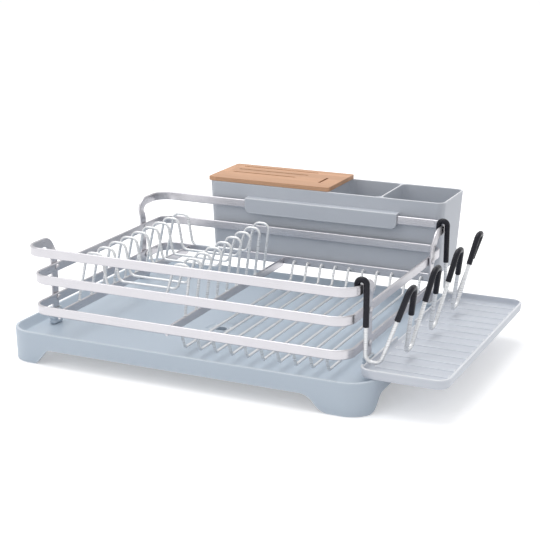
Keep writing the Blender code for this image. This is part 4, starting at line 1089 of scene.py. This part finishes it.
# Side tray sizes
SIDE_CORNER = 0.014
SIDE_WALL = 0.0024
SIDE_FLOOR = 0.0022
SIDE_DRAFT = 0.0025
SIDE_DRAFT_SHARE = 0.67
SIDE_RIM_ROUNDING = 0.0008
SIDE_EDGE = 0.0005
SIDE_INNER_TOP = 0.0438
SIDE_NOTCH = 0.060
SIDE_LIP = 0.210
SIDE_LIP_DROP = 0.0075
RIB_WIDTH = 0.0085
RIB_HEIGHT = 0.0015
RIB_MARGIN = 0.008
RIB_CROWN_POWER = 0.7
RIB_STEPS = 8


class DRAINER_OT_side_tray(bpy.types.Operator):
    """Builds the ribbed tray under the cups"""

    bl_idname = "drainer.side_tray"
    bl_label = "Side Tray"

    def execute(self, context):
        sizes = context.scene.drainer_sizes
        left, right, half = SIDE_LOW.x, SIDE_HIGH.x, SIDE_HIGH.y
        bottom = TRAY_RIM + GAP
        top = SIDE_HIGH.z
        floor = bottom + SIDE_FLOOR

        def outline(inset):
            return rounded_box(left + inset, right - inset, inset - half, half - inset, SIDE_CORNER - inset)

        rings = []
        for turn in quarter_turn(4):
            inset = SIDE_DRAFT * (1 - math.sin(turn) * SIDE_DRAFT_SHARE)
            rings.append(at_height(outline(inset), bottom + SIDE_FLOOR * (1 - math.cos(turn))))
        for turn in quarter_turn(4):
            inset = SIDE_RIM_ROUNDING * (1 - math.cos(turn))
            rings.append(at_height(outline(inset), top - SIDE_RIM_ROUNDING * (1 - math.sin(turn))))
        tray = place("side_tray_moulding", lofted("side_tray_moulding", rings), FINISHES["side_tray"])
        inside = []
        for turn in quarter_turn(4):
            inset = SIDE_WALL + SIDE_DRAFT * (1 - math.sin(turn))
            inside.append(at_height(outline(inset), floor + SIDE_DRAFT * (1 - math.cos(turn))))
        inside.append(at_height(outline(SIDE_WALL), top + OVERRUN))
        carve(tray, lofted("inside", inside))
        open_half = half - SIDE_CORNER
        edge = left + SIDE_CORNER
        beyond = top + OVERRUN
        outside = left - OVERRUN
        for name, reach, low in (("low_wall", open_half, SIDE_INNER_TOP), ("notch", SIDE_NOTCH / 2, floor)):
            carve(tray, boxes(name, [((outside, -reach, low), (edge, reach, beyond))]))
        lip_left = TRAY_HALF_X + GAP
        lip_low = (lip_left, -SIDE_LIP / 2, TRAY_RIM - SIDE_LIP_DROP)
        lip_high = (lip_left + SIDE_WALL, SIDE_LIP / 2, bottom + SIDE_FLOOR / 2)
        carve(tray, boxes("lip", [(lip_low, lip_high)]), "UNION")
        carve(tray, self.ribs(left, right, half, floor, sizes.rib_count), "UNION")
        soften(tray, SIDE_EDGE)
        stand_for(tray, "side_tray", "side_tray")
        return {"FINISHED"}

    def ribs(self, left, right, half, floor, count):
        """Ribs with a rounded top, along X."""
        shape = bmesh.new()
        first = SIDE_CORNER - half
        for index in range(count):
            y = first - 2 * first * index / (count - 1)
            section = [(-RIB_WIDTH / 2, -SIDE_FLOOR / 2)]
            for part in range(RIB_STEPS + 1):
                turn = math.pi * part / RIB_STEPS
                rise = RIB_HEIGHT * math.sin(turn) ** RIB_CROWN_POWER
                section.append((-RIB_WIDTH / 2 * math.cos(turn), rise))
            section.append((RIB_WIDTH / 2, -SIDE_FLOOR / 2))
            loops = [
                [shape.verts.new((x, y + across, floor + up)) for across, up in section]
                for x in (left + RIB_MARGIN, right - RIB_MARGIN)
            ]
            for corner in range(len(section)):
                after = (corner + 1) % len(section)
                shape.faces.new((loops[0][corner], loops[0][after], loops[1][after], loops[1][corner]))
            shape.faces.new(loops[0])
            shape.faces.new(loops[1])
        return finished_mesh(shape, "ribs")


# Cup holder sizes
HOOK_Y = 0.130
HOOK_TIP_DROP = 0.0095
PEAK_OUTREACH = 0.0255
BEND_OUTREACH = 0.0105
END_BEND_WIDTH = 0.016
PEAK_TOP = 0.127
BEND_BOTTOM = CUP_LOW.z + CUP_WIRE_RADIUS
PEAK_COUNT = 4
PEAK_PITCH = 0.078
CUP_LOOP_WIDTH = 0.0165
CUP_LOOP_RADIUS = 0.0075
SLEEVE_LEG = 0.040
SLEEVE_END = 0.0012


def cup_path(sleeve):
    """From the front hook down, along the peaks and bends, and up to the rear hook."""
    stand_off = GAP + sleeve
    inner_x = BAND_HIGH.x - BAR_THICKNESS - stand_off
    outer_x = BAND_HIGH.x + stand_off
    top = BAND_HIGH.z
    hook_top = top + stand_off + BAR_THICKNESS / 3
    front = [
        (inner_x, -HOOK_Y, top - HOOK_TIP_DROP), (inner_x, -HOOK_Y, hook_top), (outer_x, -HOOK_Y, hook_top),
        (outer_x, -HOOK_Y, BEND_BOTTOM), (outer_x + END_BEND_WIDTH, -HOOK_Y, BEND_BOTTOM),
    ]
    middle = []
    half = CUP_LOOP_WIDTH / 2
    for index in range(PEAK_COUNT):
        y = (index - (PEAK_COUNT - 1) / 2) * PEAK_PITCH
        middle += [(TRAY_HALF_X + PEAK_OUTREACH, y + side * half, PEAK_TOP) for side in (-1, 1)]
        if index < PEAK_COUNT - 1:
            y += PEAK_PITCH / 2
            middle += [(TRAY_HALF_X + BEND_OUTREACH, y + side * half, BEND_BOTTOM) for side in (-1, 1)]
    rear = [(x, -y, z) for x, y, z in reversed(front)]
    return filleted(front + middle + rear, CUP_LOOP_RADIUS)


def stretch_of(path, start, end):
    """The part of the path between two lengths along it."""
    taken = []
    travelled = 0
    for before, after in zip(path, path[1:]):
        length = (after - before).length
        for mark in (start, end):
            if travelled <= mark < travelled + length:
                taken.append(before.lerp(after, (mark - travelled) / length))
        if start < travelled + length < end:
            taken.append(after)
        travelled += length
    return taken


def length_to(path, crest):
    """The length along the path to its nearest place to a point."""
    travelled = 0
    best = (math.inf, 0)
    for before, after in zip(path, path[1:]):
        best = min(best, (((before + after) / 2 - crest).length, travelled + (after - before).length / 2))
        travelled += (after - before).length
    return best[1]


class DRAINER_OT_cup_holder(bpy.types.Operator):
    """Builds the zigzag wire with its dark sleeves"""

    bl_idname = "drainer.cup_holder"
    bl_label = "Cup Holder"

    def execute(self, context):
        sizes = context.scene.drainer_sizes
        path = cup_path(sizes.sleeve)
        bent = wire("cup_wire_bent", path, sizes.cup_wire, FINISHES["wire"])
        stand_for(bent, "cup_holder", "cup_holder_wire")
        total = sum((after - before).length for before, after in zip(path, path[1:]))
        hook = 2 * HOOK_TIP_DROP + BAR_THICKNESS + 2 * sizes.sleeve + SLEEVE_LEG
        front = stretch_of(path, 0, hook)
        front[0] = front[0] - Vector((0, 0, SLEEVE_END + GAP))
        rear = list(reversed(stretch_of(path, total - hook, total - GAP)))
        rear[0] = rear[0] - Vector((0, 0, SLEEVE_END + GAP))
        self.sleeve("hook_sleeve_front", front, sizes)
        self.sleeve("hook_sleeve_rear", rear, sizes)
        for index in range(PEAK_COUNT):
            y = (index - (PEAK_COUNT - 1) / 2) * PEAK_PITCH
            crest = length_to(path, Vector((TRAY_HALF_X + PEAK_OUTREACH, y, PEAK_TOP)))
            peak = stretch_of(path, crest - SLEEVE_LEG, crest + SLEEVE_LEG)
            self.sleeve(f"peak_sleeve_{index + 1}", peak, sizes)
        return {"FINISHED"}

    def sleeve(self, node, path, sizes):
        skin = wire(node + "_skin", path, sizes.sleeve, FINISHES["sleeve"])
        stand_for(skin, "cup_holder", node)


# Caddy sizes
CADDY_BOTTOM = 0.058
CADDY_TAPER = 0.005
CADDY_CORNER = 0.010
CADDY_WALL = 0.0022
CADDY_FLOOR = 0.0025
CADDY_FRONT_GAP = 0.004
COMPARTMENT_ROUNDING = 0.002
COMPARTMENT_ROUNDING_MIDDLE = 0.0006
DIVIDERS = (0.035, 0.105)
CADDY_HOLE = 0.0025
CADDY_HOLE_PITCH = 0.022
HOOK_LEFT_X = -0.070
HOOK_RIGHT_X = 0.130
HOOK_THICKNESS = 0.0024
FLAP_DROP = 0.0165
FLAP_ROUNDING = 0.008


class DRAINER_OT_caddy(bpy.types.Operator):
    """Builds the caddy with its compartments, hook flap and drain holes"""

    bl_idname = "drainer.caddy"
    bl_label = "Cutlery Caddy"

    def execute(self, context):
        sizes = context.scene.drainer_sizes
        left, right = CADDY_LOW.x, CADDY_HIGH.x
        front, rear = RAIL_HIGH.y + CADDY_FRONT_GAP, CADDY_HIGH.y
        top = CADDY_HIGH.z

        def outline(inset, lower):
            taper = CADDY_TAPER * lower
            return rounded_box(
                left + inset + taper, right - inset - taper, front + inset, rear - inset - taper,
                CADDY_CORNER - inset,
            )

        rings = []
        for turn in quarter_turn(4):
            inset = CADDY_FLOOR * (1 - math.sin(turn))
            rings.append(at_height(outline(inset, 1), CADDY_BOTTOM + CADDY_FLOOR * (1 - math.cos(turn))))
        rings.append(at_height(outline(0, 0), top))
        caddy = place("caddy_moulding", lofted("caddy_moulding", rings), FINISHES["caddy"])
        edges = (left, *DIVIDERS, right)
        for before, after in zip(edges, edges[1:]):
            carve(caddy, self.compartment(before, after, front, rear, top))
        flap_rear = RAIL_HIGH.y - BAR_THICKNESS - GAP
        flap_front = flap_rear - HOOK_THICKNESS
        shelf_low = BAND_HIGH.z + GAP
        shelf_high = shelf_low + HOOK_THICKNESS
        shelf = ((HOOK_LEFT_X, flap_front, shelf_low), (HOOK_RIGHT_X, front + CADDY_WALL / 2, shelf_high))
        carve(caddy, boxes("shelf", [shelf]), "UNION")
        flap_low = shelf_low - FLAP_DROP
        flap = filleted([
            (HOOK_RIGHT_X, shelf_high), (HOOK_RIGHT_X, flap_low), (HOOK_LEFT_X, flap_low),
            (HOOK_LEFT_X, shelf_high),
        ], FLAP_ROUNDING)
        carve(caddy, extruded("flap", flap, flap_front, flap_rear, "XZ"), "UNION")
        holes = []
        middle_y = (front + rear - CADDY_TAPER) / 2
        for before, after in zip(edges, edges[1:]):
            for step_x in (-1, 0, 1):
                for step_y in (-0.5, 0.5):
                    x = (before + after) / 2 + step_x * CADDY_HOLE_PITCH
                    holes.append(Vector((x, middle_y + step_y * CADDY_HOLE_PITCH, CADDY_BOTTOM)))
        carve(caddy, rods("holes", holes, CADDY_HOLE, 2 * CADDY_FLOOR + OVERRUN, sides=20))
        soften(caddy, sizes.edge_rounding)
        stand_for(caddy, "cutlery_caddy", "cutlery_caddy")
        return {"FINISHED"}

    def compartment(self, before, after, front, rear, top):
        """One compartment's space, tapered where it meets the caddy's own walls."""
        rings = []
        floor = CADDY_BOTTOM + CADDY_FLOOR
        for height, lower, inset in (
            (floor, 1, COMPARTMENT_ROUNDING),
            (floor + COMPARTMENT_ROUNDING_MIDDLE, 1, COMPARTMENT_ROUNDING_MIDDLE),
            (floor + COMPARTMENT_ROUNDING, 1, 0), (top + OVERRUN, 0, 0),
        ):
            taper = CADDY_TAPER * lower
            low_x = before + CADDY_WALL / 2 + inset
            high_x = after - CADDY_WALL / 2 - inset
            if before == CADDY_LOW.x:
                low_x = before + CADDY_WALL + taper + inset
            if after == CADDY_HIGH.x:
                high_x = after - CADDY_WALL - taper - inset
            outline = rounded_box(
                low_x, high_x, front + CADDY_WALL + inset, rear - CADDY_WALL - taper - inset,
                CADDY_CORNER - CADDY_WALL - inset,
            )
            rings.append(at_height(outline, height))
        return lofted("compartment", rings)


# Cover sizes
COVER_THICKNESS = 0.0052
PLUG_GAP = 0.0010
COVER_CORNER = 0.003
COVER_EDGE = 0.0006
SLOT_WIDTH = 0.0032
SLOT_ROUND_SHARE = 0.95
SLOT_LEFT_MARGIN = 0.016
SLOT_RIGHT_INSETS = (0.061, 0.051, 0.044)
SLOT_DEPTH_SHARES = (0.45, 0.65, 0.85)
SHORT_SLOT_INSET = 0.022
SHORT_SLOT_SHARES = (0.25, 0.60)


class DRAINER_OT_cover(bpy.types.Operator):
    """Builds the slotted bamboo cover"""

    bl_idname = "drainer.cover"
    bl_label = "Bamboo Cover"

    def execute(self, context):
        left, right = COVER_LOW.x, COVER_HIGH.x
        front, back = COVER_LOW.y, COVER_HIGH.y
        low, high = COVER_HIGH.z - COVER_THICKNESS, COVER_HIGH.z
        plate = extruded("plate", rounded_box(left, right, front, back, COVER_CORNER), low, high)
        cover = place("bamboo_board_cover", plate, FINISHES["bamboo"])
        inset = CADDY_WALL + PLUG_GAP
        plug = rounded_box(
            left + inset, DIVIDERS[0] - CADDY_WALL / 2 - PLUG_GAP, front + inset, back - inset,
            CADDY_CORNER - CADDY_WALL,
        )
        carve(cover, extruded("plug", plug, COVER_LOW.z, low + COVER_THICKNESS / 2), "UNION")
        for inset, share in zip(SLOT_RIGHT_INSETS, SLOT_DEPTH_SHARES):
            y = front + (back - front) * share
            carve(cover, self.slot(left + SLOT_LEFT_MARGIN, right - inset, y, y))
        x = right - SHORT_SLOT_INSET
        start, end = (front + (back - front) * share for share in SHORT_SLOT_SHARES)
        carve(cover, self.slot(x, x, start, end))
        soften(cover, COVER_EDGE)
        stand_for(cover, "bamboo_cover", "bamboo_cover")
        return {"FINISHED"}

    def slot(self, left, right, front, back):
        """A round-ended slot through the plate and its plug."""
        half = SLOT_WIDTH / 2
        if left == right:
            left, right = left - half, left + half
        else:
            front, back = front - half, front + half
        outline = rounded_box(left, right, front, back, half * SLOT_ROUND_SHARE)
        return extruded("slot", outline, COVER_LOW.z - OVERRUN, COVER_HIGH.z + OVERRUN)


# Stage
CAMERA_AZIMUTH = math.radians(24.84)
CAMERA_ELEVATION = math.radians(16.20)
CAMERA_TARGET = Vector((0.0260, 0.0141, 0.0853))
CAMERA_DISTANCE = 1.529
CAMERA_FIELD = math.radians(22.75)
SENSOR_WIDTH = 36
FLOOR_SIZE = 12.0
FLOOR_TOP = -0.0005
FLOOR_BOTTOM = -0.02
FLOOR_LIFT = 0.34
WORLD_LIGHT = 0.70
# Each lamp's name, place, width and power
LAMPS = (
    ("overhead", (-0.4, 0.1, 1.9), 1.8, 20),
    ("front", (-1.1, -1.6, 1.3), 1.4, 5),
)


class DRAINER_OT_stage(bpy.types.Operator):
    """Builds the floor, the lamps, the world and the camera"""

    bl_idname = "drainer.stage"
    bl_label = "Stage"

    def execute(self, context):
        scene = context.scene
        scene.view_settings.view_transform = "Standard"
        self.floor(scene)
        self.world(scene)
        for lamp in LAMPS:
            self.lamp(*lamp)
        self.camera(scene)
        return {"FINISHED"}

    def floor(self, scene):
        half = FLOOR_SIZE / 2
        mesh = boxes("floor", [((-half, -half, FLOOR_BOTTOM), (half, half, FLOOR_TOP))])
        made, board, shader = new_material("pale_floor")
        shader.inputs["Base Color"].default_value = scene.drainer_colours.floor
        shader.inputs["Emission Color"].default_value = (1, 1, 1, 1)
        lift = board.scaled(self.background_rays(board), 0.0, FLOOR_LIFT)
        board.join(lift, shader.inputs["Emission Strength"])
        shader.inputs["Roughness"].default_value = 0.9
        noise = board.add("ShaderNodeTexNoise", Scale=40.0)
        relief = board.add("ShaderNodeBump")
        relief.inputs["Strength"].default_value = 0.02
        board.join(noise.outputs["Fac"], relief.inputs["Height"])
        board.join(relief.outputs["Normal"], shader.inputs["Normal"])
        item = bpy.data.objects.new("floor", mesh)
        item.data.materials.append(made)
        scene.collection.objects.link(item)

    def world(self, scene):
        """White to the eye and in reflections, and a little dimmer as light."""
        world = bpy.data.worlds.new("studio")
        scene.world = world
        world.use_nodes = True
        board = Board(world.node_tree)
        background = world.node_tree.nodes["Background"]
        background.inputs["Color"].default_value = (1, 1, 1, 1)
        strength = board.scaled(self.background_rays(board), WORLD_LIGHT, 1.0)
        board.join(strength, background.inputs["Strength"])

    def background_rays(self, board):
        """1 for the rays that see the background: the camera's, and those of metal and of clear things."""
        rays = board.add("ShaderNodeLightPath")
        seen = rays.outputs["Is Camera Ray"]
        for label in ("Is Glossy Ray", "Is Transmission Ray"):
            either = board.add("ShaderNodeMath", operation="MAXIMUM")
            board.join(seen, either.inputs[0])
            board.join(rays.outputs[label], either.inputs[1])
            seen = either.outputs[0]
        return seen

    def lamp(self, name, where, size, power):
        data = bpy.data.lights.new(name, "AREA")
        data.shape = "DISK"
        data.size = size
        data.energy = power
        item = bpy.data.objects.new(name, data)
        item.location = where
        item.rotation_euler = (CENTRE - Vector(where)).to_track_quat("-Z", "Y").to_euler()
        bpy.context.scene.collection.objects.link(item)

    def camera(self, scene):
        data = bpy.data.cameras.new("camera")
        data.sensor_width = SENSOR_WIDTH
        data.lens = data.sensor_width / 2 / math.tan(CAMERA_FIELD / 2)
        item = bpy.data.objects.new("camera", data)
        flat = math.cos(CAMERA_ELEVATION)
        ahead = Vector((
            -math.sin(CAMERA_AZIMUTH) * flat, math.cos(CAMERA_AZIMUTH) * flat, -math.sin(CAMERA_ELEVATION)
        ))
        item.location = CENTRE + CAMERA_TARGET - ahead * CAMERA_DISTANCE
        item.rotation_euler = ahead.to_track_quat("-Z", "Y").to_euler()
        scene.collection.objects.link(item)
        scene.camera = item


class DRAINER_PT_panel(bpy.types.Panel):
    """Lists the drainer's operators in the sidebar"""

    bl_label = "Dish Drainer"
    bl_idname = "DRAINER_PT_panel"
    bl_space_type = "VIEW_3D"
    bl_region_type = "UI"
    bl_category = "Drainer"

    def draw(self, context):
        column = self.layout.column()
        for operator in PIECES:
            column.operator(operator.bl_idname)
        for group in (context.scene.drainer_sizes, context.scene.drainer_colours):
            for name in group.__annotations__:
                column.prop(group, name)


PIECES = (
    DRAINER_OT_tray, DRAINER_OT_spout, DRAINER_OT_rails, DRAINER_OT_bars, DRAINER_OT_rivets,
    DRAINER_OT_caps, DRAINER_OT_plate_bars, DRAINER_OT_plate_wires, DRAINER_OT_bowl_wires,
    DRAINER_OT_side_tray, DRAINER_OT_cup_holder, DRAINER_OT_caddy, DRAINER_OT_cover, DRAINER_OT_stage,
)
CLASSES = (DrainerSizes, DrainerColours, *PIECES, DRAINER_PT_panel)


def register():
    for item in CLASSES:
        bpy.utils.register_class(item)
    bpy.types.Scene.drainer_sizes = PointerProperty(type=DrainerSizes)
    bpy.types.Scene.drainer_colours = PointerProperty(type=DrainerColours)


def unregister():
    del bpy.types.Scene.drainer_colours
    del bpy.types.Scene.drainer_sizes
    for item in reversed(CLASSES):
        bpy.utils.unregister_class(item)


def clear_startup():
    for name in ("Cube", "Light", "Camera"):
        item = bpy.data.objects.get(name)
        if item:
            bpy.data.objects.remove(item, do_unlink=True)


def main():
    clear_startup()
    register()
    make_finishes(bpy.context.scene.drainer_colours)
    bpy.ops.drainer.tray()
    bpy.ops.drainer.spout()
    bpy.ops.drainer.rails()
    bpy.ops.drainer.bars()
    bpy.ops.drainer.rivets()
    bpy.ops.drainer.caps()
    bpy.ops.drainer.plate_bars()
    bpy.ops.drainer.plate_wires()
    bpy.ops.drainer.bowl_wires()
    bpy.ops.drainer.side_tray()
    bpy.ops.drainer.cup_holder()
    bpy.ops.drainer.caddy()
    bpy.ops.drainer.cover()
    bpy.ops.drainer.stage()


if __name__ == "__main__":
    main()
